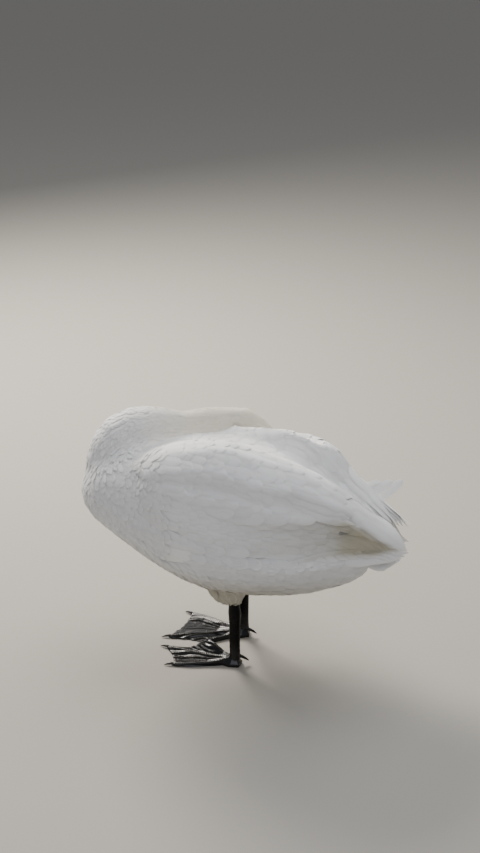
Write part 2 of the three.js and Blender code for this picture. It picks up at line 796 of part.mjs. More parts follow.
function addLeg(side) {
  const tarsus = tarsusForm(side);
  const hindToe = hindToeForm(side);
  const claws = toeNames.map((name) => clawForm(side, name));
  addPiece(`leg_${side}_shank`, seated(shankForm(side), [trunkForm, tarsus]), WHITE, 0.9);
  addPiece(`leg_${side}_tarsus`, joined(tarsus(0), hindToe(0)), BLACK, 0.5);
  addPiece(`leg_${side}_foot`, seated(footForm(side), [tarsus, hindToe, ...claws]), BLACK, 0.35);
  claws.forEach((claw, i) => addPiece(`claw_${side}_${toeNames[i]}`, claw(0), BLACK, 0.4));
}

const { base, middle, upper } = neckForms;
const legTops = [tarsusForm("left"), tarsusForm("right")];
const allWings = Object.values(wingForms).flatMap((forms) => Object.values(forms));

addPiece("trunk", seated(trunkForm, [middle, upper, ...faceForms, ...legTops]), WHITE, 0.9);
addPiece("tail", seated(tailForm, [trunkForm], allWings), WHITE, 0.9);
addPiece("neck_base", seated(base, [trunkForm]), WHITE, 0.9);
addPiece("neck_middle", middle(0), CREAM, 0.9);
addPiece("neck_upper", upper(0), CREAM, 0.9);
addPiece("head", seated(headForm, [eyeForms.left, eyeForms.right, knobForm]), CREAM, 0.9);
addPiece("bill_upper", seated(upperBillForm, [knobForm]), ORANGE, 0.4);
addPiece("bill_lower", lowerBillForm(0), ORANGE, 0.4);
addPiece("bill_knob", knobForm(0), BLACK, 0.45);
for (const side of ["left", "right"]) {
  addPiece(`eye_${side}`, eyeForms[side](0), BLACK, 0.1);
  for (const name of layerNames) {
    const loose = side === "right" && name === "tertials" ? looseTertials : [];
    const vanes = loose.map(([root, tip]) => vane(new THREE.Vector3(...root), new THREE.Vector3(...tip)));
    addPiece(`wing_${side}_${name}`, joined(wingPiece(side, name), ...vanes), WHITE, 0.85);
  }
  addLeg(side);
}

export default swan;
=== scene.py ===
import logging
import math
from dataclasses import dataclass, field
from enum import Enum
from typing import Callable, Sequence

import bmesh
import bpy
import numpy as np
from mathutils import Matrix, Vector
from mathutils.bvhtree import BVHTree


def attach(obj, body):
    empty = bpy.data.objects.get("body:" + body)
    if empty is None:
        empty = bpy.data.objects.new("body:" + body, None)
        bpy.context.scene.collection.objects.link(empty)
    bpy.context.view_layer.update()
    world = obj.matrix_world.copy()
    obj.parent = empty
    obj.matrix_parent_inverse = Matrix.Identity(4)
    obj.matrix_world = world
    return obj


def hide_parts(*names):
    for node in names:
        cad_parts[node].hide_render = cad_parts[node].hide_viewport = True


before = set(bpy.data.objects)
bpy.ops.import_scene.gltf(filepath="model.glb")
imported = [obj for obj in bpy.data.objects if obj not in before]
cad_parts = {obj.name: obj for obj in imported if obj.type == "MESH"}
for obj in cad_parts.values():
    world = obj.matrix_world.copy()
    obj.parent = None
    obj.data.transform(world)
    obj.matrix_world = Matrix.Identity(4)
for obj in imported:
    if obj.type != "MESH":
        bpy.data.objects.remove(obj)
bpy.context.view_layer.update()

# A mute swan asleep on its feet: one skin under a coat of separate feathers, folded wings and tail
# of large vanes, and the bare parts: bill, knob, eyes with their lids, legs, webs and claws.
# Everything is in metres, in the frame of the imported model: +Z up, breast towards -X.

log = logging.getLogger("swan")
Array = np.ndarray
Curve = Callable[[Array], Array]
Span = tuple[float, float]
Point = tuple[float, float, float]
Tree = bpy.types.NodeTree
Socket = bpy.types.NodeSocket
Material = bpy.types.Material
Mesh = bpy.types.Mesh
Thing = bpy.types.Object

MM = 0.001
BODY = "root"
STANCE_X = -10.3  # middle of the stance, in millimetres from the frame's origin
BAKE_MAP = "OFBake"
BAKE_PATCH = 0.003  # width of a feather's patch on the skin's unwrap
RECESS_DEPTH = 0.009  # how far the wing's side lies in under the shoulder feathers
RAY_REACH = 0.4  # rays towards the wings' axis start this far out, clear of body and wings
LEG_STEP = 2.5  # mm by which the right foot stands back and the left one forward
LEG_SPREAD = 56.5  # mm from the midline to each foot
SHARP_EDGE = math.radians(50)  # faces that meet at more than this show an edge
UNWRAP_ANGLE = math.radians(66)
UNWRAP_MARGIN = 0.002
ROOT_CROWD = 4.0  # candidates in each square of the spacing, before they are thinned out
SIDES = {"left": -1.0, "right": 1.0}  # sign of each side along Y


class Slot(Enum):
    """Names of material slots."""

    WHITE = "white_plumage"
    CREAM = "cream_plumage"
    BILL = "bill_horn"
    HORN = "black_horn"
    LEG = "leg_skin"
    EYE = "eye"


# ----- small tools


def place(x: float, y: float, z: float) -> Array:
    """Point in the frame, from millimetres measured from the middle of the stance."""
    return np.array([x + STANCE_X, y, z]) * MM


def foot_place(side: str) -> Array:
    """Where a leg stands."""
    return place(LEG_STEP * SIDES[side], LEG_SPREAD * SIDES[side], 0)


def profile(*points: Span) -> Curve:
    """Smooth curve through (place, value) pairs that never overshoots them.

    Args:
        points: the pairs, in rising order of place.

    Returns:
        A function from places to values, level beyond both ends.
    """
    xs, ys = np.array(points, float).T
    slope = np.diff(ys) / np.diff(xs)
    before, after = np.r_[slope[0], slope], np.r_[slope, slope[-1]]
    total = before + after
    total[total == 0] = 1.0
    tangent = np.where(before * after > 0, 2 * before * after / total, 0.0)

    def curve(at: Array) -> Array:
        """Value of the curve at each place."""
        x = np.clip(np.asarray(at, float), xs[0], xs[-1])
        i = np.clip(np.searchsorted(xs, x, "right") - 1, 0, len(xs) - 2)
        h = xs[i + 1] - xs[i]
        t = (x - xs[i]) / h
        ends = ys[i] * (1 + 2 * t) * (1 - t) ** 2 + ys[i + 1] * t * t * (3 - 2 * t)
        return ends + h * t * (1 - t) * (tangent[i] * (1 - t) - tangent[i + 1] * t)

    return curve


def ramp(value: Array, low: float, high: float) -> Array:
    """Smooth step from 0 at low to 1 at high, which may lie below low."""
    t = np.clip((np.asarray(value, float) - low) / (high - low), 0, 1)
    return t * t * (3 - 2 * t)


def unit(vectors: Array) -> Array:
    """Vectors at length one."""
    size = np.linalg.norm(vectors, axis=-1, keepdims=True)
    return vectors / np.maximum(size, 1e-12)


def dot(a: Array, b: Array) -> Array:
    """Row-wise scalar product, kept as a column."""
    return np.sum(a * b, axis=-1, keepdims=True)


def linear(hex_colour: str) -> tuple[float, float, float, float]:
    """Linear colour of an sRGB hex value such as "f4f2ec"."""
    parts = [int(hex_colour[i : i + 2], 16) / 255 for i in (0, 2, 4)]
    r, g, b = (c / 12.92 if c <= 0.04045 else ((c + 0.055) / 1.055) ** 2.4 for c in parts)
    return (r, g, b, 1.0)


def mesh_arrays(mesh: Mesh) -> tuple[Array, Array]:
    """Vertex places and triangle corners of a mesh."""
    points = np.empty(len(mesh.vertices) * 3)
    mesh.vertices.foreach_get("co", points)
    mesh.calc_loop_triangles()
    corners = np.empty(len(mesh.loop_triangles) * 3, np.int32)
    mesh.loop_triangles.foreach_get("vertices", corners)
    return points.reshape(-1, 3), corners.reshape(-1, 3)


def set_floats(mesh: Mesh, name: str, values: Array) -> None:
    """Stores one number for each vertex."""
    attribute = mesh.attributes.new(name, "FLOAT", "POINT")
    attribute.data.foreach_set("value", np.asarray(values, np.float32))


def move_points(mesh: Mesh, points: Array) -> None:
    """Puts the vertices at new places."""
    mesh.vertices.foreach_set("co", np.ascontiguousarray(points).ravel())
    mesh.update()


def shade_smooth(mesh: Mesh) -> None:
    """Shades every face smoothly."""
    mesh.polygons.foreach_set("use_smooth", np.ones(len(mesh.polygons), bool))


def grid_round(along: Array, sides: int) -> tuple[Array, Array]:
    """Grid of places along an axis and angles right round it."""
    turn = np.linspace(0, 2 * np.pi, sides, endpoint=False)
    return np.meshgrid(along, turn, indexing="ij")


def lattice(rings: int, size: int) -> tuple[Array, Array]:
    """Numbers of the points of some rings, and of the next point round the ring from each."""
    corner = np.arange(rings * size).reshape(rings, size)
    return corner, np.roll(corner, -1, axis=1)


def ease(path: Array) -> None:
    """Evens out shafts between their ends."""
    path[:, 1:-1] = 0.5 * path[:, 1:-1] + 0.25 * (path[:, 2:] + path[:, :-2])


def add_object(name: str, data: bpy.types.ID) -> Thing:
    """Links a mesh, light or camera into the scene as an object at the origin."""
    thing = bpy.data.objects.new(name, data)
    bpy.context.scene.collection.objects.link(thing)
    return thing


def finish_piece(
    piece: Thing,
    material: Material,
    replaced: Sequence[str] = (),
) -> None:
    """Dresses a piece and ties it to the model.

    Args:
        piece: the finished object.
        material: its finish.
        replaced: model nodes that it stands for.
    """
    piece.data.materials.clear()
    piece.data.materials.append(material)
    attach(piece, BODY)
    if replaced:
        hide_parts(*replaced)
    log.info("%s: %d faces", piece.name, len(piece.data.polygons))


class Surface:
    """A closed surface of triangles that points are dropped on."""

    def __init__(self, mesh: Mesh) -> None:
        """Reads the mesh once, with smooth normals at its vertices."""
        self.points, self.faces = mesh_arrays(mesh)
        self.tree = BVHTree.FromPolygons(self.points.tolist(), self.faces.tolist())
        a, b, c = (self.points[self.faces[:, k]] for k in range(3))
        area = np.cross(b - a, c - a)
        normals = np.zeros_like(self.points)
        for k in range(3):
            np.add.at(normals, self.faces[:, k], area)
        self.normals = unit(normals)
        self.flow = np.zeros_like(self.points)

    def smoothed(self, values: Array, rounds: int) -> Array:
        """Vectors at the vertices, evened out over their neighbours."""
        one, other = self.faces.ravel(), np.roll(self.faces, -1, axis=1).ravel()
        size = len(self.points)
        share = np.maximum(np.bincount(one, minlength=size) + np.bincount(other, minlength=size), 1)
        for _ in range(rounds):
            around = [
                np.bincount(one, column[other], size) + np.bincount(other, column[one], size)
                for column in values.T
            ]
            values = 0.5 * values + 0.5 * np.stack(around, 1) / share[:, None]
        return values

    def settle(self, lie: "Lie", normal_rounds: int = 3, flow_rounds: int = 25) -> None:
        """Evens out the normals and keeps the coat's flow at the vertices."""
        self.normals = unit(self.smoothed(self.normals, normal_rounds))
        self.flow = unit(self.smoothed(lie.flow(self.points, self.normals), flow_rounds))

    def weights(self, at: Array, face: Array) -> Array:
        """Shares of each face's three corners at points on it."""
        a, b, c = (self.points[self.faces[face, k]] for k in range(3))
        ab, ac, ap = b - a, c - a, at - a
        d00, d01, d11 = (dot(u, v)[:, 0] for u, v in ((ab, ab), (ab, ac), (ac, ac)))
        d20, d21 = dot(ap, ab)[:, 0], dot(ap, ac)[:, 0]
        scale = np.maximum(d00 * d11 - d01 * d01, 1e-20)
        v = (d11 * d20 - d01 * d21) / scale
        w = (d00 * d21 - d01 * d20) / scale
        return np.clip(np.stack([1 - v - w, v, w], 1), 0, 1)

    def sample(self, values: Array, at: Array, face: Array) -> Array:
        """Values of the vertices, blended at points on faces."""
        share = self.weights(at, face)
        picked = values[self.faces[face]]
        if picked.ndim == 2:
            return np.sum(share * picked, 1)
        return np.sum(share[:, :, None] * picked, 1)

    def read(self, found: Sequence[tuple]) -> tuple[Array, Array, Array]:
        """Places, smooth normals and faces that the tree found."""
        at, face = (np.array([f[k] for f in found]) for k in (0, 2))
        return at, unit(self.sample(self.normals, at, face)), face

    def near(self, points: Array) -> tuple[Array, Array, Array]:
        """Nearest places on the surface, smooth normals there, and faces."""
        return self.read([self.tree.find_nearest(p) for p in points.tolist()])

    def struck(self, origins: Array, aims: Array) -> tuple[Array, Array]:
        """Places where rays first strike, and smooth normals there.

        Args:
            origins: where the rays start.
            aims: their directions.

        Returns:
            Places and normals; a ray that misses gives the surface's nearest place.
        """
        found = [self.tree.ray_cast(o, d) for o, d in zip(origins.tolist(), aims.tolist())]
        near = [
            hit if hit[0] is not None else self.tree.find_nearest((o + RAY_REACH * d).tolist())
            for hit, o, d in zip(found, origins, aims)
        ]
        return self.read(near)[:2]

    def meets(self, origins: Array, aims: Array, reach: float) -> Array:
        """Whether each ray strikes within a reach."""
        rays = zip(origins.tolist(), aims.tolist())
        return np.array([self.tree.ray_cast(o, d, reach)[0] is not None for o, d in rays])


# ----- materials


def add_node(
    tree: Tree,
    kind: str,
    settings: dict[str, object] | None = None,
    inputs: dict[str | int, object] | None = None,
) -> bpy.types.Node:
    """Adds a node, sets it up and links it.

    Args:
        tree: the node tree.
        kind: the node's type.
        settings: its properties.
        inputs: values or sockets for its inputs, by name or number.

    Returns:
        The node.
    """
    node = tree.nodes.new(kind)
    for key, value in (settings or {}).items():
        setattr(node, key, value)
    for key, value in (inputs or {}).items():
        if isinstance(value, Socket):
            tree.links.new(value, node.inputs[key])
        else:
            node.inputs[key].default_value = value
    return node


def mixed(tree: Tree, share: object, low: object, high: object) -> Socket:
    """Colour between two, by a share; each is a socket or an sRGB hex value."""
    low, high = (linear(c) if isinstance(c, str) else c for c in (low, high))
    return add_node(
        tree, "ShaderNodeMix", {"data_type": "RGBA"}, {0: share, 6: low, 7: high}
    ).outputs[2]


def worked(tree: Tree, operation: str, first: object, second: object = 0.0) -> Socket:
    """Result of a sum on two values."""
    inputs = {0: first, 1: second}
    return add_node(tree, "ShaderNodeMath", {"operation": operation}, inputs).outputs[0]


def marking(tree: Tree, name: str) -> Socket:
    """A number that the mesh keeps at its vertices."""
    return add_node(tree, "ShaderNodeAttribute", {"attribute_name": name}).outputs["Fac"]


def spot(tree: Tree) -> Socket:
    """Place on the piece."""
    return add_node(tree, "ShaderNodeTexCoord").outputs["Object"]


def noise(tree: Tree, where: Socket, scale: float, detail: float) -> Socket:
    """Cloudy noise, at a scale in turns per metre."""
    inputs = {"Vector": where, "Scale": scale, "Detail": detail}
    return add_node(tree, "ShaderNodeTexNoise", inputs=inputs).outputs[0]


def cells(tree: Tree, where: Socket, scale: float, feature: str = "F1") -> Socket:
    """Distance in a pattern of cells, at a scale in cells per metre."""
    inputs = {"Vector": where, "Scale": scale}
    return add_node(tree, "ShaderNodeTexVoronoi", {"feature": feature}, inputs).outputs["Distance"]


def spanned(
    tree: Tree, value: Socket, start: float, stop: float, low: float = 0.0, high: float = 1.0
) -> Socket:
    """A value's way from start to stop, as a share from low to high."""
    inputs = {"Value": value, "From Min": start, "From Max": stop, "To Min": low, "To Max": high}
    return add_node(tree, "ShaderNodeMapRange", inputs=inputs).outputs[0]


def bumped(tree: Tree, height: Socket, strength: float, millimetres: float) -> Socket:
    """Normal of a surface with fine relief."""
    inputs = {"Strength": strength, "Distance": millimetres * MM, "Height": height}
    return add_node(tree, "ShaderNodeBump", inputs=inputs).outputs[0]


@dataclass(frozen=True)
class Finish:
    """A finish, made as one material; each kind says what its shader gets."""

    name: str

    def inputs(self, tree: Tree) -> dict[str, object]:
        """Inputs of the shader."""
        raise NotImplementedError

    def make(self) -> Material:
        """Builds the material."""
        material = bpy.data.materials.new(self.name)
        material.use_nodes = True
        tree = material.node_tree
        tree.nodes.clear()
        shader = add_node(tree, "ShaderNodeBsdfPrincipled", inputs=self.inputs(tree))
        add_node(tree, "ShaderNodeOutputMaterial", inputs={"Surface": shader.outputs[0]})
        return material


@dataclass(frozen=True)
class PlumageFinish(Finish):
    """Swan feathers: keratin barbs full of air, which scatter the light and look chalk white.

    The vane is matt with a faint silky sheen, and thin enough to glow where light comes through.
    """

    name: str = "barbed_white_feather"
    white: str = "f6f5f2"
    cream: str = "ebe1c9"
    # Olive-brown of real stains on belly and thighs, also used as painted shade there and in the wing's
    # hollow.
    stain_and_shade: str = "a59b7c"
    quill: str = "efe9dc"
    roughness: float = 0.72
    barb_spacing: float = 1.1  # mm; real barbs are a third of this, too fine to show
    barb_slant: float = 0.9
    relief: float = 0.22

    def inputs(self, tree: Tree) -> dict[str, object]:
        """Inputs of the shader."""
        read = {key: marking(tree, key) for key in ("cream", "stain_and_shade", "shade")}
        lay = add_node(tree, "ShaderNodeUVMap", {"uv_map": "UVMap"}).outputs[0]
        across, along, _ = add_node(tree, "ShaderNodeSeparateXYZ", inputs={0: lay}).outputs
        off = worked(tree, "ABSOLUTE", across)
        slanted = worked(tree, "SUBTRACT", along, worked(tree, "MULTIPLY", off, self.barb_slant))
        turns = 2 * math.pi / (self.barb_spacing * MM)
        wander = noise(tree, lay, 160.0, 2.0)
        phase = worked(tree, "ADD", worked(tree, "MULTIPLY", slanted, turns),
                       worked(tree, "MULTIPLY", wander, 9.0))
        barbs = worked(tree, "MULTIPLY_ADD", worked(tree, "SINE", phase), 0.5)
        shaft = worked(tree, "LESS_THAN", off, 0.45 * MM)
        colour = mixed(tree, read["cream"], self.white, self.cream)
        # Mixes in the olive-brown: real stains, and painted shade in the wing's hollow and low on the belly.
        colour = mixed(tree, read["stain_and_shade"], colour, self.stain_and_shade)
        colour = mixed(tree, worked(tree, "MULTIPLY", shaft, 0.5), colour, self.quill)
        grey = add_node(
            tree, "ShaderNodeHueSaturation", inputs={"Color": colour, "Value": read["shade"]}
        ).outputs[0]
        bump = bumped(tree, barbs, self.relief, 0.3)
        return {
            "Base Color": grey, "Roughness": self.roughness, "Normal": bump,
            "Specular IOR Level": 0.25, "Sheen Weight": 0.15, "Sheen Roughness": 0.5,
            "Subsurface Weight": 0.25, "Subsurface Scale": 0.006,
            "Subsurface Radius": (1.0, 0.9, 0.8),
        }


@dataclass(frozen=True)
class DownFinish(Finish):
    """Skin under the coat, closed over by white down: a matt, finely tufted felt."""

    name: str = "down_over_skin"
    white: str = "eeece6"
    cream: str = "e6d8ba"
    # Olive-brown of real stains, also used as painted shade in the wing's hollow and low on the belly.
    stain_and_shade: str = "a89a7a"
    bare: str = "171413"
    tuft_size: float = 2.2  # mm

    def inputs(self, tree: Tree) -> dict[str, object]:
        """Inputs of the shader."""
        read = {key: marking(tree, key) for key in ("cream", "stain_and_shade", "bare")}
        where = spot(tree)
        tufts = noise(tree, where, 1 / (self.tuft_size * MM), 4.0)
        grain = cells(tree, where, 900.0)
        colour = mixed(tree, read["cream"], self.white, self.cream)
        # Mixes in the olive-brown: real stains and painted shade.
        colour = mixed(tree, read["stain_and_shade"], colour, self.stain_and_shade)
        colour = mixed(tree, read["bare"], colour, self.bare)
        height = worked(tree, "ADD", tufts, worked(tree, "MULTIPLY", grain, 0.5))
        bump = bumped(tree, height, 0.5, 0.5)
        rough = worked(tree, "SUBTRACT", 0.85, worked(tree, "MULTIPLY", read["bare"], 0.35))
        return {
            "Base Color": colour, "Roughness": rough, "Normal": bump,
            "Specular IOR Level": 0.3,
        }


@dataclass(frozen=True)
class LegSkinFinish(Finish):
    """Swan's leg: black scaled skin, leathery over the webs, moist and softly glossy."""

    name: str = "moist_scaled_leg_skin"
    black: str = "020203"
    worn: str = "121213"
    scale_size: float = 2.4  # mm
    roughness: float = 0.3
    moist_to: Span = (0.03, 0.06)  # metres up the leg where the wet gloss ends

    def inputs(self, tree: Tree) -> dict[str, object]:
        """Inputs of the shader."""
        where = spot(tree)
        scales = cells(tree, where, 1 / (self.scale_size * MM), "DISTANCE_TO_EDGE")
        raised = worked(tree, "MINIMUM", worked(tree, "MULTIPLY", scales, 3.0), 0.5)
        folds = noise(tree, where, 90.0, 5.0)
        height = worked(tree, "ADD", raised, worked(tree, "MULTIPLY", folds, 0.8))
        bump = bumped(tree, height, 0.45, 0.6)
        dust = noise(tree, where, 55.0, 6.0)
        share = spanned(tree, dust, 0.5, 0.8, 0.0, 0.6)
        colour = mixed(tree, share, self.black, self.worn)
        rough = worked(tree, "ADD", worked(tree, "MULTIPLY", share, 0.3), self.roughness - 0.06)
        high = add_node(tree, "ShaderNodeSeparateXYZ", inputs={0: where}).outputs[2]
        moist = spanned(tree, high, *self.moist_to, 1.0, 0.15)
        return {
            "Base Color": colour, "Roughness": rough, "Normal": bump,
            "Specular IOR Level": 0.12,
            "Coat Weight": worked(tree, "MULTIPLY", moist, 0.55), "Coat Roughness": 0.16,
        }


@dataclass(frozen=True)
class HornFinish(Finish):
    """Keratin sheath: satin, slightly waxy, with faint mottling and pores."""

    main: str
    deep: str
    dark: str = "12100f"
    roughness: float = 0.38

    def inputs(self, tree: Tree) -> dict[str, object]:
        """Inputs of the shader."""
        dark = marking(tree, "dark")
        where = spot(tree)
        mottle = noise(tree, where, 140.0, 5.0)
        pores = cells(tree, where, 650.0)
        colour = mixed(tree, mottle, self.main, self.deep)
        colour = mixed(tree, dark, colour, self.dark)
        height = worked(tree, "ADD", mottle, worked(tree, "MULTIPLY", pores, 0.6))
        bump = bumped(tree, height, 0.25, 0.3)
        rough = worked(tree, "ADD", worked(tree, "MULTIPLY", mottle, 0.16), self.roughness - 0.08)
        return {
            "Base Color": colour, "Roughness": rough, "Normal": bump,
            "Subsurface Weight": 0.1, "Subsurface Scale": 0.002,
        }


@dataclass(frozen=True)
class EyeFinish(Finish):
    """Wet eye: dark brown iris and black pupil under a clear, mirror-smooth cornea."""

    name: str = "wet_dark_eye"
    iris: str = "2a160c"
    rim: str = "0b0706"
    pupil: str = "020202"

    def inputs(self, tree: Tree) -> dict[str, object]:
        """Inputs of the shader."""
        ring = marking(tree, "ring")
        where = spot(tree)
        fibres = noise(tree, where, 900.0, 3.0)
        iris = mixed(tree, fibres, self.iris, self.rim)
        colour = mixed(tree, spanned(tree, ring, 0.42, 0.5), self.pupil, iris)
        colour = mixed(tree, spanned(tree, ring, 0.8, 0.95), colour, self.rim)
        return {
            "Base Color": colour, "Roughness": 0.08, "IOR": 1.38, "Coat Weight": 1.0,
            "Coat Roughness": 0.02,
        }


@dataclass(frozen=True)
class FloorFinish(Finish):
    """Matt pale floor."""

    name: str = "matt_pale_floor"
    colour: str = "aaa69d"

    def inputs(self, tree: Tree) -> dict[str, object]:
        """Inputs of the shader."""
        return {"Base Color": linear(self.colour), "Roughness": 0.9}


# ----- body's lines


WING_AXIS = profile((-0.22, 0.40), (0, 0.372), (0.15, 0.345), (0.25, 0.318), (0.36, 0.288))
WING_HEM = profile(
    (-0.215, 0.35), (-0.13, 0.32), (0.01, 0.312), (0.05, 0.307), (0.13, 0.299), (0.19, 0.295),
    (0.264, 0.281), (0.342, 0.262),
)
SHOULDER_EDGE = profile(
    (-0.07, 20), (0.02, 14), (0.125, 22), (0.19, 29), (0.215, 33), (0.24, 31), (0.277, 16),
    (0.312, -4), (0.335, -17),
)


def wing_angle(points: Array) -> Array:
    """Degrees round the wings' axis, 0 at the side and 90 on top."""
    x, y, z = points.T
    return np.degrees(np.arctan2(z - WING_AXIS(x), np.abs(y)))


@dataclass
class NeckLine:
    """Centre line of the neck, from inside the breast to the nape, with its radius."""

    knots: tuple[Point, ...] = (
        (-186, 0, 352), (-250, 0, 396), (-257, 2, 452), (-231, 12, 500), (-182, 29, 511),
        (-126, 52, 501), (-78, 71, 505.5), (-34, 83, 503),
    )
    radius: Curve = profile(
        (0, 68), (0.17, 65), (0.33, 57), (0.5, 46), (0.64, 37.5), (0.78, 31.5), (1, 31.5)
    )
    samples: int = 161
    line: Array = field(init=False)
    forward: Array = field(init=False)
    share: Array = field(init=False)

    def __post_init__(self) -> None:
        """Samples the curve through the knots."""
        knots = np.array([place(*k) for k in self.knots])
        ends = [2 * knots[0] - knots[1], *knots, 2 * knots[-1] - knots[-2]]
        self.share = np.linspace(0, 1, self.samples)
        spans = len(knots) - 1
        at = np.clip(self.share * spans, 0, spans - 1e-9)
        points = []
        for i, t in zip(at.astype(int), at % 1):
            points.append(self.between(ends[i : i + 4], t))
        self.line = np.array(points)
        self.forward = unit(np.gradient(self.line, axis=0))

    @staticmethod
    def between(four: Sequence[Array], t: float) -> Array:
        """Point of a centripetal curve between the middle two of four points."""
        a, b, c, d = four
        s0, s1, s2 = (math.sqrt(np.linalg.norm(q - p)) for p, q in ((a, b), (b, c), (c, d)))
        start = ((b - a) / s0 - (c - a) / (s0 + s1) + (c - b) / s1) * s1
        stop = ((c - b) / s1 - (d - b) / (s1 + s2) + (d - c) / s2) * s1
        ends = b * (1 + 2 * t) * (1 - t) ** 2 + c * t * t * (3 - 2 * t)
        return ends + start * t * (1 - t) ** 2 + stop * t * t * (t - 1)

    def beside(self, points: Array) -> tuple[Array, Array, Array]:
        """For points: share along the neck, height over its surface, and its direction."""
        gap = np.linalg.norm(points[:, None, :] - self.line[None], axis=2)
        over = gap - self.radius(self.share)[None] * MM
        best = np.argmin(over, axis=1)
        return self.share[best], over[np.arange(len(points)), best], self.forward[best]


@dataclass
class Skull:
    """Frame and outline of the head, with the bill's line."""

    middle: Array = field(default_factory=lambda: place(12, 86, 493))
    nape: float = -46.0
    pitch: float = -20.0
    yaw: float = -14.0
    bill_base: float = 60.0
    top: Curve = profile((-46, 29), (-14, 32), (12, 29), (36, 23), (60, 15))
    bottom: Curve = profile((-46, 30), (-18, 31), (6, 30), (28, 25), (46, 18), (60, 13))
    half_width: Curve = profile((-46, 29), (-14, 30), (10, 27), (32, 20), (48, 15), (60, 12.5))
    axes: Array = field(init=False)

    def __post_init__(self) -> None:
        """Turns the head's axes: forward, to its left, and up."""
        pitch, yaw = math.radians(self.pitch), math.radians(self.yaw)
        forward = np.array(
            [math.cos(pitch) * math.cos(yaw), math.cos(pitch) * math.sin(yaw), math.sin(pitch)]
        )
        up = unit(np.cross(forward, (0, 1, 0)))
        self.axes = np.array([forward, np.cross(up, forward), up])

    def point(self, along: Array, left: Array, up: Array) -> Array:
        """Frame place of a point given in millimetres on the head."""
        local = np.stack(np.broadcast_arrays(along, left, up), -1).astype(float)
        return self.middle + MM * local @ self.axes

    def local(self, points: Array) -> Array:
        """Millimetres along, left and up on the head, for points of the frame."""
        return (points - self.middle) @ self.axes.T / MM

    def off(self, points: Array) -> Array:
        """Distance in millimetres of points from the head's outline."""
        along, left, up = self.local(points).T
        return np.hypot(left, up) - self.rim(along, np.arctan2(up, left))

    def rim(self, along: Array, angle: Array) -> Array:
        """Distance in millimetres from the head's axis to the coat, at an angle from its left."""
        wide = self.half_width(along)
        tall = np.where(np.sin(angle) > 0, self.top(along), self.bottom(along))
        return 1 / np.sqrt((np.cos(angle) / wide) ** 2 + (np.sin(angle) / tall) ** 2)


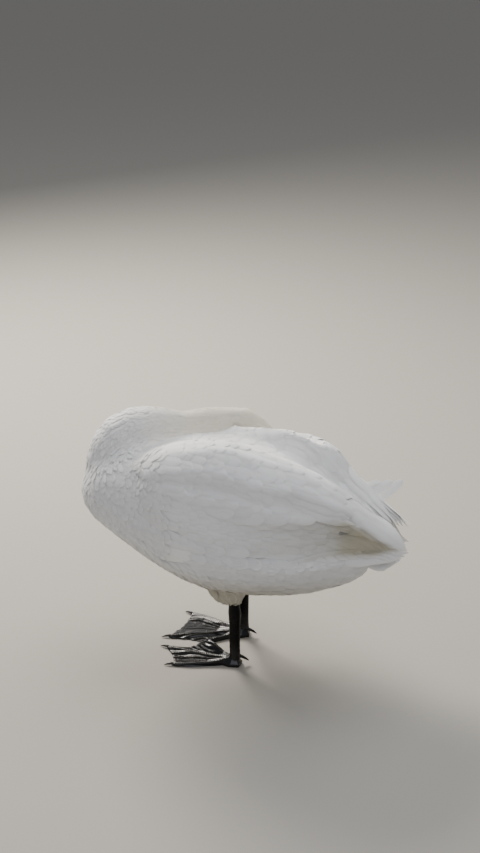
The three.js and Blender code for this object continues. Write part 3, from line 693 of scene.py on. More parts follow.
@dataclass
class Lie:
    """How the coat lies on the skin: its size, its flow, its markings and its painted shade."""

    neck: NeckLine
    skull: Skull
    legs: tuple[Array, ...] = tuple(foot_place(side) for side in SIDES)
    back_share: Curve = profile(
        (-0.35, 0.12), (-0.29, 0.4), (-0.2, 0.9), (-0.1, 1), (0.22, 1), (0.29, 0.5)
    )
    down_share: Curve = profile(
        (-0.35, 1), (-0.29, 0.8), (-0.2, 0.42), (-0.1, 0.2), (0.1, 0.1), (0.22, 0.12), (0.29, 0.6)
    )

    def neck_weight(self, points: Array) -> tuple[Array, Array, Array]:
        """Share of the neck in each point, place along it, and the neck's direction."""
        share, over, forward = self.neck.beside(points)
        return ramp(over, 0.016, 0.004) * ramp(share, 0.12, 0.34), share, forward

    def neck_share(self, points: Array) -> Array:
        """Share of the neck in each point."""
        return self.neck_weight(points)[0]

    def head_weight(self, points: Array) -> Array:
        """Share of the head in each point."""
        along, over = self.off_head(points)
        return ramp(along, -40, -22) * ramp(over, 9, 3.5) * ramp(along, 72, 65)

    def off_head(self, points: Array) -> tuple[Array, Array]:
        """Place along the skull and distance from its outline, in millimetres."""
        return self.skull.local(points)[:, 0], self.skull.off(points)

    def hem_groove(self, points: Array) -> Array:
        """Depth of the groove below the folded wing's lower edge, in metres."""
        x, _, z = points.T
        over = z - WING_HEM(x)
        band = ramp(over, 0.005, 0.013) * ramp(over, 0.031, 0.023)
        return 0.01 * band * ramp(x, -0.02, 0.03) * ramp(x, 0.24, 0.18)

    def leg_weight(self, points: Array) -> Array:
        """Share of the thighs in each point."""
        gap = np.min([np.hypot(points[:, 0] - f[0], points[:, 1] - f[1]) for f in self.legs], axis=0)
        return ramp(points[:, 2], 0.215, 0.185) * ramp(gap, 0.09, 0.06)

    def flow(self, points: Array, normals: Array) -> Array:
        """Direction in which feathers point, along the skin."""
        x = points[:, 0]
        zero = np.zeros_like(x)
        body = np.stack([self.back_share(x), zero, -self.down_share(x)], 1)
        neck_share, _, forward = self.neck_weight(points)
        aim = unit(body) * (1 - neck_share[:, None]) - forward * neck_share[:, None]
        head = self.head_weight(points)[:, None]
        aim = aim * (1 - head) - self.skull.axes[0] * head
        leg = self.leg_weight(points)[:, None]
        aim = aim * (1 - leg) + np.array([0.15, 0, -1.0]) * leg
        return unit(aim - normals * dot(aim, normals))

    def spacing(self, points: Array) -> Array:
        """Distance between feathers' roots, in millimetres."""
        x, z = points[:, 0], points[:, 2]
        body = 8.0 + 1.6 * ramp(x, -0.25, -0.05) + 0.6 * ramp(z, 0.3, 0.22)
        neck_share, share, _ = self.neck_weight(points)
        neck = profile((0.1, 8), (0.3, 6.6), (0.5, 4.9), (0.75, 3.7), (1, 3.1))(share)
        size = body * (1 - neck_share) + neck * neck_share
        head = self.head_weight(points)
        along = self.skull.local(points)[:, 0]
        on_head = profile((-46, 2.9), (-10, 2.3), (20, 1.9), (60, 1.5))(along)
        size = size * (1 - head) + on_head * head
        leg = self.leg_weight(points)
        return size * (1 - leg) + (4.2 + 2.5 * ramp(z, 0.15, 0.2)) * leg

    def depth(self, points: Array) -> Array:
        """Depth of the coat over the skin, in metres."""
        return MM * (0.46 * np.minimum(self.spacing(points), 8.5) + 0.2)

    def recess(self, points: Array) -> Array:
        """Share of the hollow under the shoulder feathers' edge, along the wing's side."""
        x, angle = points[:, 0], wing_angle(points)
        edge = SHOULDER_EDGE(x)
        band = ramp(angle, edge + 1, edge - 7) * ramp(angle, -20, -9)
        return band * ramp(x, -0.06, 0.06) * ramp(x, 0.345, 0.31)

    def vane_bed(self, points: Array) -> Array:
        """Extra depth below the wings' large feathers, in metres."""
        x, angle = points[:, 0], wing_angle(points)
        wing = ramp(x, -0.14, -0.06) * ramp(angle, -22, -10) * (1 - self.neck_share(points))
        return 0.0045 * wing + RECESS_DEPTH * self.recess(points) + self.hem_groove(points)

    def cream(self, points: Array) -> Array:
        """Share of the cream tint, which head and upper neck have."""
        neck_share, share, _ = self.neck_weight(points)
        head = self.head_weight(points)
        return np.maximum(0.75 * neck_share * ramp(share, 0.4, 0.8), 0.85 * head)

    def stain_and_shade(self, points: Array) -> Array:
        """Share of the olive-brown mark: real water and mud stains on belly and thighs, deepened there by
        painted shade, and painted shade in the hollow under the shoulder feathers.
        """
        x, z = points[:, 0], points[:, 2]
        # Belly: real stains, with painted shade that darkens it towards the bottom.
        belly = ramp(z, 0.3, 0.19) * ramp(x, -0.32, -0.14) * ramp(x, 0.3, 0.02)
        # Painted shade: the hollow under the shoulder feathers' edge is darkened in its colour, most towards
        # the tail.
        hollow = self.recess(points) * profile((0, 0.05), (0.1, 0.25), (0.18, 0.5), (0.22, 1), (0.3, 1))(x)
        # Thighs: real stains, with painted shade low down round the legs.
        thigh = self.leg_weight(points) * ramp(z, 0.23, 0.16)
        return np.max([0.75 * belly, 0.85 * hollow, 0.8 * thigh], axis=0)

    def bare(self, points: Array) -> Array:
        """Share of bare black skin: the lores between eye and bill, and round the eye."""
        along, left, up = self.skull.local(points).T
        head = self.head_weight(points)
        edge = profile((20, 2), (30, 6.5), (46, 9), (60, 14))(along)
        lores = ramp(along, 27, 31) * ramp(np.abs(up - 3 - 0.06 * (60 - along)), edge + 1, edge - 1)
        round_eye = ramp(np.hypot(along - 25, up - 8), 9.5, 8) * ramp(np.abs(left), 10, 14)
        front = ramp(along, 55, 57.5)
        return head * np.maximum(np.maximum(lores * ramp(np.abs(left), 3, 6), round_eye), front)


@dataclass
class Nest:
    """Hollow that head and bill press into the feathers of the back."""

    skull: Skull
    slopes: Span = (3.2, 1.1)  # towards the back's crest, and away from it
    tucked: Span = (88.0, 140.0)  # mm along, where feathers close over the bill
    bed_depth: float = 7.0  # mm of the skin below those feathers
    heap: float = 12.5  # mm by which the crest's feathers are pushed up beside the bill

    def limit(self, along: Array, left: Array) -> Array:
        """Height over the skull's axis to which feathers reach beside head and bill, in mm."""
        share = np.clip((along - self.skull.bill_base) / 80, 0, 1)
        on_bill = profile((0, 12.5), (0.35, 11), (0.75, 12.8), (1, 6))(share)
        on_head = along < self.skull.bill_base
        wide = np.where(on_head, self.skull.half_width(along) - 2, on_bill)
        base = np.where(on_head, 7 - self.skull.bottom(along), -6.0)
        beside = np.maximum(np.abs(left) - wide, 0)
        slope = np.where(left < 0, *self.slopes)
        return base + slope * beside + 30 * ramp(along, *self.tucked) + 40 * ramp(along, -20, -44)

    def bed(self, points: Array) -> Array:
        """Presses the skin down beside the head and below the bill, under the feathers."""
        along, left, up = self.skull.local(points).T
        free = np.maximum(ramp(self.skull.off(points), 1.5, 4), ramp(along, 62, 67))
        free *= ramp(np.abs(left), 60, 50)
        free *= ramp(along, self.skull.nape, -34) * ramp(along, 165, 150) * ramp(up, 60, 45)
        lowered = up - np.maximum(up - self.limit(along, left) + self.bed_depth, 0) * free
        return np.where((free > 0)[:, None], self.skull.point(along, left, lowered), points)

    def settle(self, points: Array) -> Array:
        """Presses points down that would stand over the head or the bill, and heaps the crest."""
        along, left, up = self.skull.local(points).T
        over = np.maximum(up - self.limit(along, left), 0) * ramp(up, 60, 45)
        reached = (np.abs(left) < 60) & (along > self.skull.nape) & (along < 150)
        pressed = up - np.where(reached, over, 0)
        crest = np.exp(-(((left + 34) / 15) ** 2)) * ramp(up, -30, 0) * ramp(up, 60, 40)
        pressed += self.heap * crest * ramp(along, -95, -20) * ramp(along, 165, 105)
        near = (np.abs(left) < 90) & (along > -95) & (along < 165)
        return np.where(near[:, None], self.skull.point(along, left, pressed), points)

    def settled(self, path: Array, normals: Array, half: Array) -> Array:
        """Shafts moved so that no part of a feather stands over the head or the bill.

        Args:
            path: stations of each shaft.
            normals: outward directions there.
            half: half width of each feather.

        Returns:
            The stations, each cross-section moved as a whole.
        """
        side = unit(np.cross(normals, np.gradient(path, axis=1))) * half[:, None, None]
        up = self.skull.axes[2]
        shifts = []
        for share in (-0.85, 0.0, 0.85):
            at = (path + share * side).reshape(-1, 3)
            shifts.append(((self.settle(at) - at) @ up).reshape(path.shape[:2]))
        lowest, highest = np.min(shifts, axis=0), np.max(shifts, axis=0)
        shift = np.where(lowest < 0, lowest, highest)
        for _ in range(3):
            padded = np.pad(shift, ((0, 0), (1, 1)), mode="edge")
            shift = 0.5 * shift + 0.25 * (padded[:, 2:] + padded[:, :-2])
        return path + shift[..., None] * up


# ----- feathers


class Ring(Enum):
    """Cross-section of a vane as (share across, height) pairs, right round it."""

    THREE = ((-1.0, 0.0), (0.0, 1.0), (1.0, 0.0))
    FOUR = ((-1.0, 0.0), (0.0, 1.0), (1.0, 0.0), (0.0, -0.2))
    SIX = ((-1.0, 0.0), (-0.55, 0.75), (0.0, 1.0), (0.55, 0.75), (1.0, 0.0), (0.0, -0.2))


@dataclass(frozen=True)
class VaneKind:
    """Outline, section and lie of one kind of feather."""

    stations: tuple[float, ...]
    outline: tuple[float, ...]
    ring: Ring
    thickness: float = 0.5  # mm, over the shaft
    camber: float = 0.22  # droop of the edges, as a share of the half width
    fray: float = 0.12  # roughness of the outline
    lift: Span = (-0.4, 1.0)  # height of root and tip, in coat depths
    lift_power: float = 0.8


CONTOUR = VaneKind(
    (0, 0.18, 0.36, 0.54, 0.7, 0.83, 0.93, 1), (0.12, 0.6, 0.86, 1, 1, 0.88, 0.6, 0.12),
    Ring.FOUR, 0.24, 0.06, 0.08, (0.0, 0.95), 1.0,
)
FINE = VaneKind(
    (0, 0.3, 0.6, 0.85, 1), (0.2, 0.8, 1, 0.7, 0.08), Ring.THREE, 0.22, 0.14, 0.12, (-0.1, 0.95), 1.0
)
LARGE = VaneKind(
    (0, 0.1, 0.22, 0.34, 0.46, 0.58, 0.69, 0.79, 0.87, 0.93, 0.975, 1),
    (0.12, 0.42, 0.68, 0.85, 0.96, 1, 0.99, 0.94, 0.82, 0.62, 0.36, 0.06),
    Ring.SIX, 0.42, 0.05, 0.04,
)
POINTED = VaneKind(
    LARGE.stations,
    (0.12, 0.42, 0.68, 0.86, 0.97, 1, 0.96, 0.82, 0.6, 0.36, 0.16, 0.03),
    Ring.SIX, 0.6, 0.09, 0.03,
)
QUILL = VaneKind(
    (0, 0.08, 0.18, 0.3, 0.42, 0.54, 0.66, 0.77, 0.86, 0.93, 0.975, 1),
    (0.3, 0.62, 0.86, 0.97, 1, 1, 0.98, 0.93, 0.8, 0.56, 0.3, 0.05),
    Ring.SIX, 0.8, 0.07, 0.02,
)


class Plumage:
    """Feathers gathered into one mesh; each is a thin closed vane."""

    def __init__(
        self, name: str, lie: Lie, skin: Surface, skin_uv: Array, nest: Nest | None = None
    ) -> None:
        """Starts an empty coat piece over a skin with its unwrap.

        Args:
            name: the piece's name.
            lie: markings and painted shade of the coat.
            skin: the skin below.
            skin_uv: its unwrap.
            nest: the hollow of the head, for feathers that lie under it and bear no cream.
        """
        self.name, self.lie, self.skin, self.skin_uv = name, lie, skin, skin_uv
        self.nest = nest
        self.pale = nest is not None
        self.points: list[Array] = []
        self.faces: list[Array] = []
        self.uv: list[Array] = []
        self.patch: list[Array] = []
        self.shade: list[Array] = []
        self.count = 0

    def add(
        self,
        kind: VaneKind,
        path: Array,
        normals: Array,
        half: Array,
        rng: np.random.Generator,
        tone: float = 0.06,
        shell: Surface | None = None,
        hold: Array | None = None,
    ) -> None:
        """Adds feathers.

        Args:
            kind: their outline and section.
            path: stations of each shaft, feathers by stations by three.
            normals: outward directions there.
            half: half width of each feather, in metres.
            rng: source of the outlines' roughness and the tones.
            tone: spread of the feathers' tones.
            shell: surface over which the vanes bend.
            hold: how closely each station keeps to it.
        """
        number, stations = path.shape[:2]
        if self.nest:
            path = self.nest.settled(path, normals, half)
        forward = unit(np.gradient(path, axis=1))
        side = unit(np.cross(normals, forward))
        up = np.cross(forward, side)
        rough = 1 + kind.fray * rng.uniform(-1, 1, (number, stations, 1))
        wide = half[:, None, None] * np.array(kind.outline)[None, :, None] * rough
        across, height = np.array(kind.ring.value).T
        droop = -kind.camber * wide * across**2
        thin = MM * kind.thickness * np.minimum(1, np.array(kind.outline) + 0.25)[None, :, None]
        rise = thin * height + droop
        spread = wide * across
        points = (
            path[:, :, None]
            + side[:, :, None] * spread[..., None]
            + up[:, :, None] * rise[..., None]
        )
        if shell and hold is not None:
            bent = self.draped(shell, path, side, spread, rise)
            points += (bent - points) * hold[None, :, None, None]
        size = len(across)
        corner, ahead = lattice(stations, size)
        quads = np.stack([corner[:-1], corner[1:], ahead[1:], ahead[:-1]], -1).reshape(-1, 4)
        first = np.arange(number) * stations * size + self.count
        self.faces.append((quads[None] + first[:, None, None]).reshape(-1, 4))
        for end in (corner[0], corner[-1][::-1]):
            fan = [(end[0], end[k], end[k + 1], end[k + 1]) for k in range(1, size - 1)]
            self.faces.append((np.array(fan)[None] + first[:, None, None]).reshape(-1, 4))
        steps = np.linalg.norm(np.diff(path, axis=1), axis=2)
        along = np.concatenate([np.zeros((number, 1)), np.cumsum(steps, 1)], 1)
        uv = np.stack(np.broadcast_arrays(spread, along[:, :, None]), -1)
        uv = uv + rng.uniform(0, 1, (number, 1, 1, 1)) * np.array([0.0, 1.0])
        self.uv.append(uv.reshape(-1, 2))
        length = along[:, -1:, None]
        share = np.stack(
            np.broadcast_arrays(spread / (2 * half[:, None, None]), along[:, :, None] / length - 0.5), -1
        )
        at, _, face = self.skin.near(path[:, 0])
        weights = self.skin.weights(at, face)
        root = np.sum(weights[:, :, None] * self.skin_uv[face], 1)
        self.patch.append((root[:, None, None] + BAKE_PATCH * share).reshape(-1, 2))
        shade = 1 - tone * rng.uniform(0, 1, (number, 1)) ** 2 * np.ones((1, stations * size))
        self.shade.append(shade.ravel())
        self.points.append(points.reshape(-1, 3))
        self.count += number * stations * size

    @staticmethod
    def draped(shell: Surface, path: Array, side: Array, spread: Array, rise: Array) -> Array:
        """Points of the cross-sections, bent over a surface.

        Args:
            shell: the surface.
            path: stations of the shafts, whose height over the surface is kept.
            side: sideways directions there.
            spread: distance sideways of each point of a cross-section.
            rise: its height over the shaft.

        Returns:
            The points, in the order of the cross-section.
        """
        start, lean, _ = shell.near(path.reshape(-1, 3))
        start, lean = start.reshape(path.shape), lean.reshape(path.shape)
        height = dot(path - start, lean)
        result = np.empty((*spread.shape, 3))
        shares = np.mean(spread, axis=(0, 1))
        for sign in (-1.0, 1.0):
            at, normals, reached = start, lean, 0.0
            for column in np.argsort(np.abs(shares)):
                if shares[column] * sign < 0:
                    continue
                width = np.abs(spread[..., column])[..., None]
                aim = unit(side - normals * dot(side, normals)) * sign
                at, normals, _ = shell.near((at + aim * (width - reached)).reshape(-1, 3))
                at, normals = at.reshape(path.shape), normals.reshape(path.shape)
                reached = width
                result[:, :, column] = at + normals * (height + rise[..., column, None])
        return result

    def build(self) -> Thing:
        """Makes the mesh, with its two maps, its markings and its painted shade."""
        points = np.concatenate(self.points)
        faces = np.concatenate(self.faces)
        single = faces[:, 2] == faces[:, 3]
        sizes = np.where(single, 3, 4)
        keep = np.ones(faces.shape, bool)
        keep[single, 3] = False
        corners = faces[keep]
        mesh = bpy.data.meshes.new(self.name)
        mesh.vertices.add(len(points))
        mesh.vertices.foreach_set("co", points.ravel())
        mesh.loops.add(len(corners))
        mesh.loops.foreach_set("vertex_index", corners.astype(np.int32))
        mesh.polygons.add(len(faces))
        mesh.polygons.foreach_set("loop_start", np.r_[0, np.cumsum(sizes)[:-1]].astype(np.int32))
        mesh.update(calc_edges=True)
        for name, values in (("UVMap", self.uv), (BAKE_MAP, self.patch)):
            layer = mesh.uv_layers.new(name=name)
            layer.data.foreach_set("uv", np.concatenate(values)[corners].ravel())
        set_floats(mesh, "shade", np.concatenate(self.shade))
        set_floats(mesh, "cream", self.lie.cream(points) * (0.0 if self.pale else 1.0))
        # Olive-brown share: real stains and painted shade.
        set_floats(mesh, "stain_and_shade", self.lie.stain_and_shade(points))
        shade_smooth(mesh)
        mesh.set_sharp_from_angle(angle=SHARP_EDGE)
        return add_object(self.name, mesh)


# ----- skin


FLESH = ("trunk", "neck_base", "neck_middle", "neck_upper", "head")
WINGS = [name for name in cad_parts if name.startswith("wing_")]


def wing_nodes(*layers: str) -> list[str]:
    """Model nodes of some layers of both wings."""
    return [f"wing_{side}_{layer}" for side in SIDES for layer in layers]


def joined_copy(nodes: Sequence[str], wing_end: float | None = None) -> Mesh:
    """One mesh of copies of model nodes, with doubles merged.

    Args:
        nodes: the nodes' names.
        wing_end: place along the body behind which copies of wing nodes are cut away.

    Returns:
        The mesh of closed bodies.
    """
    work, mesh = bmesh.new(), bpy.data.meshes.new("copy")
    for name in nodes:
        part = bmesh.new()
        part.from_mesh(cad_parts[name].data)
        bmesh.ops.remove_doubles(part, verts=part.verts, dist=1e-6)
        if wing_end is not None and name.startswith("wing_"):
            geometry = [*part.verts, *part.edges, *part.faces]
            bmesh.ops.bisect_plane(
                part, geom=geometry, plane_co=(wing_end, 0, 0), plane_no=(1, 0, 0), clear_outer=True
            )
            bmesh.ops.holes_fill(part, edges=[e for e in part.edges if e.is_boundary])
        part.to_mesh(mesh)
        part.free()
        work.from_mesh(mesh)
    work.to_mesh(mesh)
    work.free()
    return mesh


def evaluated(thing: Thing) -> Mesh:
    """Mesh of an object with its modifiers worked out."""
    graph = bpy.context.evaluated_depsgraph_get()
    return bpy.data.meshes.new_from_object(thing.evaluated_get(graph))


def applied(mesh: Mesh, *modifiers: tuple[str, dict[str, object]]) -> Mesh:
    """A mesh with modifiers applied.

    Args:
        mesh: the start, which is used up.
        modifiers: kinds with their settings.

    Returns:
        The plain result.
    """
    thing = add_object("work", mesh)
    for kind, settings in modifiers:
        modifier = thing.modifiers.new(kind, kind)
        for key, value in settings.items():
            setattr(modifier, key, value)
    result = evaluated(thing)
    bpy.data.objects.remove(thing)
    return result


def largest_body(mesh: Mesh) -> Mesh:
    """The mesh with only its largest connected body kept."""
    points, _ = mesh_arrays(mesh)
    edges = np.empty(len(mesh.edges) * 2, np.int64)
    mesh.edges.foreach_get("vertices", edges)
    a, b = edges.reshape(-1, 2).T
    label = np.arange(len(points))
    while True:
        low = np.minimum(label[a], label[b])
        fresh = label.copy()
        np.minimum.at(fresh, a, low)
        np.minimum.at(fresh, b, low)
        fresh = fresh[fresh]
        if np.array_equal(fresh, label):
            break
        label = fresh
    names, counts = np.unique(label, return_counts=True)
    keep = label == names[np.argmax(counts)]
    work = bmesh.new()
    work.from_mesh(mesh)
    work.verts.ensure_lookup_table()
    doomed = [work.verts[i] for i in np.flatnonzero(~keep)]
    bmesh.ops.delete(work, geom=doomed, context="VERTS")
    work.to_mesh(mesh)
    work.free()
    return mesh


def smoothing(rounds: int) -> tuple[str, dict[str, object]]:
    """Modifier that evens out a mesh."""
    return "SMOOTH", {"factor": 0.5, "iterations": rounds}


def melted(mesh: Mesh, voxel: float, rounds: int) -> Mesh:
    """Overlapping bodies as one closed, evened-out surface of a given fineness."""
    remesh = {"mode": "VOXEL", "voxel_size": voxel, "use_smooth_shade": True}
    return largest_body(applied(mesh, ("REMESH", remesh), smoothing(rounds)))


@dataclass
class Skin:
    """The one skin of trunk, neck, head, thighs and wings' arms."""

    lie: Lie
    voxel: float = 0.0052
    head_cuts: int = 3
    wing_end: float = 0.14  # behind this, only vanes make the wing
    thigh_front: float = 0.016
    mesh: Mesh = field(init=False)

    def nodes(self) -> list[str]:
        """Model nodes that the skin stands for."""
        shanks = (f"leg_{side}_shank" for side in SIDES)
        return [*FLESH, *wing_nodes("scapulars", "coverts"), *shanks]

    def shape(self) -> None:
        """Melts the nodes into one surface and draws it in by the coat's depth."""
        mesh = melted(joined_copy(self.nodes(), self.wing_end), self.voxel, 12)
        surface = Surface(mesh)
        depth = self.lie.depth(surface.points) + self.lie.vane_bed(surface.points)
        head = self.lie.head_weight(surface.points)
        points = surface.points - surface.normals * (depth * (1 - head))[:, None]
        points[:, 0] -= self.thigh_front * self.before_leg(points)
        move_points(mesh, points)
        mesh = applied(mesh, smoothing(3))
        self.refine_head(mesh)
        self.mesh = mesh

    def before_leg(self, points: Array) -> Array:
        """Share of the thighs' front in each point, where belly feathers hang over them."""
        share = np.zeros(len(points))
        for leg in self.lie.legs:
            ahead, beside = (points - leg)[:, :2].T
            near = ramp(np.hypot(ahead, beside), 0.075, 0.03) * ramp(ahead, 0.012, -0.02)
            share = np.maximum(share, near)
        return share * ramp(points[:, 2], 0.21, 0.185) * ramp(points[:, 2], 0.135, 0.165)

    def refine_head(self, mesh: Mesh) -> None:
        """Divides the head's faces and models the head: crown, cheeks, lores and sockets."""
        skull = self.lie.skull
        work = bmesh.new()
        work.from_mesh(mesh)
        for _ in range(self.head_cuts):
            points = np.array([v.co for v in work.verts])
            weight = self.lie.head_weight(points) > 0.3
            edges = [e for e in work.edges if weight[e.verts[0].index] and weight[e.verts[1].index]]
            bmesh.ops.subdivide_edges(work, edges=edges, cuts=1, use_grid_fill=True)
            work.verts.index_update()
        bmesh.ops.triangulate(work, faces=work.faces)
        work.to_mesh(mesh)
        work.free()
        points, _ = mesh_arrays(mesh)
        along, left, up = skull.local(points).T
        angle, radius = np.arctan2(up, left), np.hypot(left, up)
        coat = self.lie.depth(points) / MM
        target = skull.rim(along, angle) - coat + self.relief(along, angle)
        close = ramp(np.abs(radius - target), 8, 4) * ramp(along, -36, -20) * ramp(along, 64, 60)
        fresh = radius + (target - radius) * close
        moved = skull.point(along, fresh * np.cos(angle), fresh * np.sin(angle))
        move_points(mesh, Nest(skull).bed(moved))

    @staticmethod
    def relief(along: Array, angle: Array) -> Array:
        """Height of brow, cheek and lores, and depth of the sockets, in millimetres."""
        slope = np.where(np.abs(angle) > math.pi / 2, math.pi - np.abs(angle), np.abs(angle))
        slope = slope * np.sign(angle)

        def bump(at: float, tilt: float, reach: float, spread: float) -> Array:
            """Round swell at a place along the skull and a tilt round it."""
            return np.exp(-(((along - at) / reach) ** 2) - ((slope - tilt) / spread) ** 2)

        socket = -1.8 * bump(26, 0.36, 8.5, 0.32)
        brow = 1.5 * bump(24, 0.86, 11, 0.2)
        cheek = 1.8 * bump(4, -0.45, 15, 0.45)
        lores = -1.3 * bump(46, 0.1, 10, 0.45)
        jaw = 0.8 * bump(34, -0.8, 16, 0.25)
        return socket + brow + cheek + lores + jaw

    def unwrap(self) -> Array:
        """Unwraps the skin's own shape, and gives each triangle's three corners there."""
        thing = add_object("unwrapped", self.mesh)
        bpy.context.view_layer.objects.active = thing
        thing.select_set(True)
        self.mesh.uv_layers.new(name=BAKE_MAP)
        bpy.ops.object.mode_set(mode="EDIT")
        bpy.ops.mesh.select_all(action="SELECT")
        bpy.ops.uv.smart_project(angle_limit=UNWRAP_ANGLE, island_margin=UNWRAP_MARGIN)
        bpy.ops.object.mode_set(mode="OBJECT")
        uv = np.empty(len(self.mesh.loops) * 2)
        self.mesh.uv_layers[BAKE_MAP].data.foreach_get("uv", uv)
        self.mesh.calc_loop_triangles()
        loops = np.empty(len(self.mesh.loop_triangles) * 3, np.int32)
        self.mesh.loop_triangles.foreach_get("loops", loops)
        bpy.data.objects.remove(thing)
        return uv.reshape(-1, 2)[loops.reshape(-1, 3)]

    def dress(self, material: Material) -> None:
        """Makes the skin's object, with the coat's markings and painted shade."""
        points, _ = mesh_arrays(self.mesh)
        set_floats(self.mesh, "cream", self.lie.cream(points))
        # Olive-brown share: real stains and painted shade.
        set_floats(self.mesh, "stain_and_shade", self.lie.stain_and_shade(points))
        set_floats(self.mesh, "bare", self.lie.bare(points))
        shade_smooth(self.mesh)
        finish_piece(add_object("skin", self.mesh), material, self.nodes())


# ----- coat


class Scatter:
    """Geometry Nodes that strew roots evenly over the faces of one band of spacing."""

    def __init__(self) -> None:
        """Builds the tree once, with inputs for spacing, band and seed."""
        tree = bpy.data.node_groups.new("feather_roots", "GeometryNodeTree")
        shelf = tree.interface
        shelf.new_socket("Geometry", in_out="INPUT", socket_type="NodeSocketGeometry")
        shelf.new_socket("Geometry", in_out="OUTPUT", socket_type="NodeSocketGeometry")
        for name, kind in (("Spacing", "Float"), ("Band", "Int"), ("Seed", "Int")):
            shelf.new_socket(name, in_out="INPUT", socket_type=f"NodeSocket{kind}")
        given = add_node(tree, "NodeGroupInput").outputs
        band = add_node(
            tree, "GeometryNodeInputNamedAttribute", {"data_type": "INT"}, {"Name": "band"}
        ).outputs[0]
        chosen = add_node(
            tree, "FunctionNodeCompare", {"data_type": "INT", "operation": "EQUAL"},
            {2: band, 3: given["Band"]},
        ).outputs[0]
        crowd = worked(tree, "POWER", given["Spacing"], -2.0)
        most = worked(tree, "MULTIPLY", crowd, ROOT_CROWD)
        strewn = add_node(
            tree, "GeometryNodeDistributePointsOnFaces", {"distribute_method": "POISSON"},
            {"Mesh": given["Geometry"], "Selection": chosen, "Distance Min": given["Spacing"],
             "Density Max": most, "Seed": given["Seed"]},
        )
        points = add_node(
            tree, "GeometryNodePointsToVertices", inputs={"Points": strewn.outputs["Points"]}
        ).outputs[0]
        add_node(tree, "NodeGroupOutput", inputs={"Geometry": points})
        self.tree = tree

    def roots(self, thing: Thing, spacing: float, band: int, seed: int) -> Array:
        """Evenly strewn places on the object's faces of one band."""
        modifier = thing.modifiers.new("feather_roots", "NODES")
        modifier.node_group = self.tree
        values = {"Spacing": spacing, "Band": band, "Seed": seed}
        for item in self.tree.interface.items_tree:
            if item.in_out == "INPUT" and item.name in values:
                modifier[item.identifier] = values[item.name]
        result = evaluated(thing)
        thing.modifiers.remove(modifier)
        points, _ = mesh_arrays(result)
        bpy.data.meshes.remove(result)
        return points


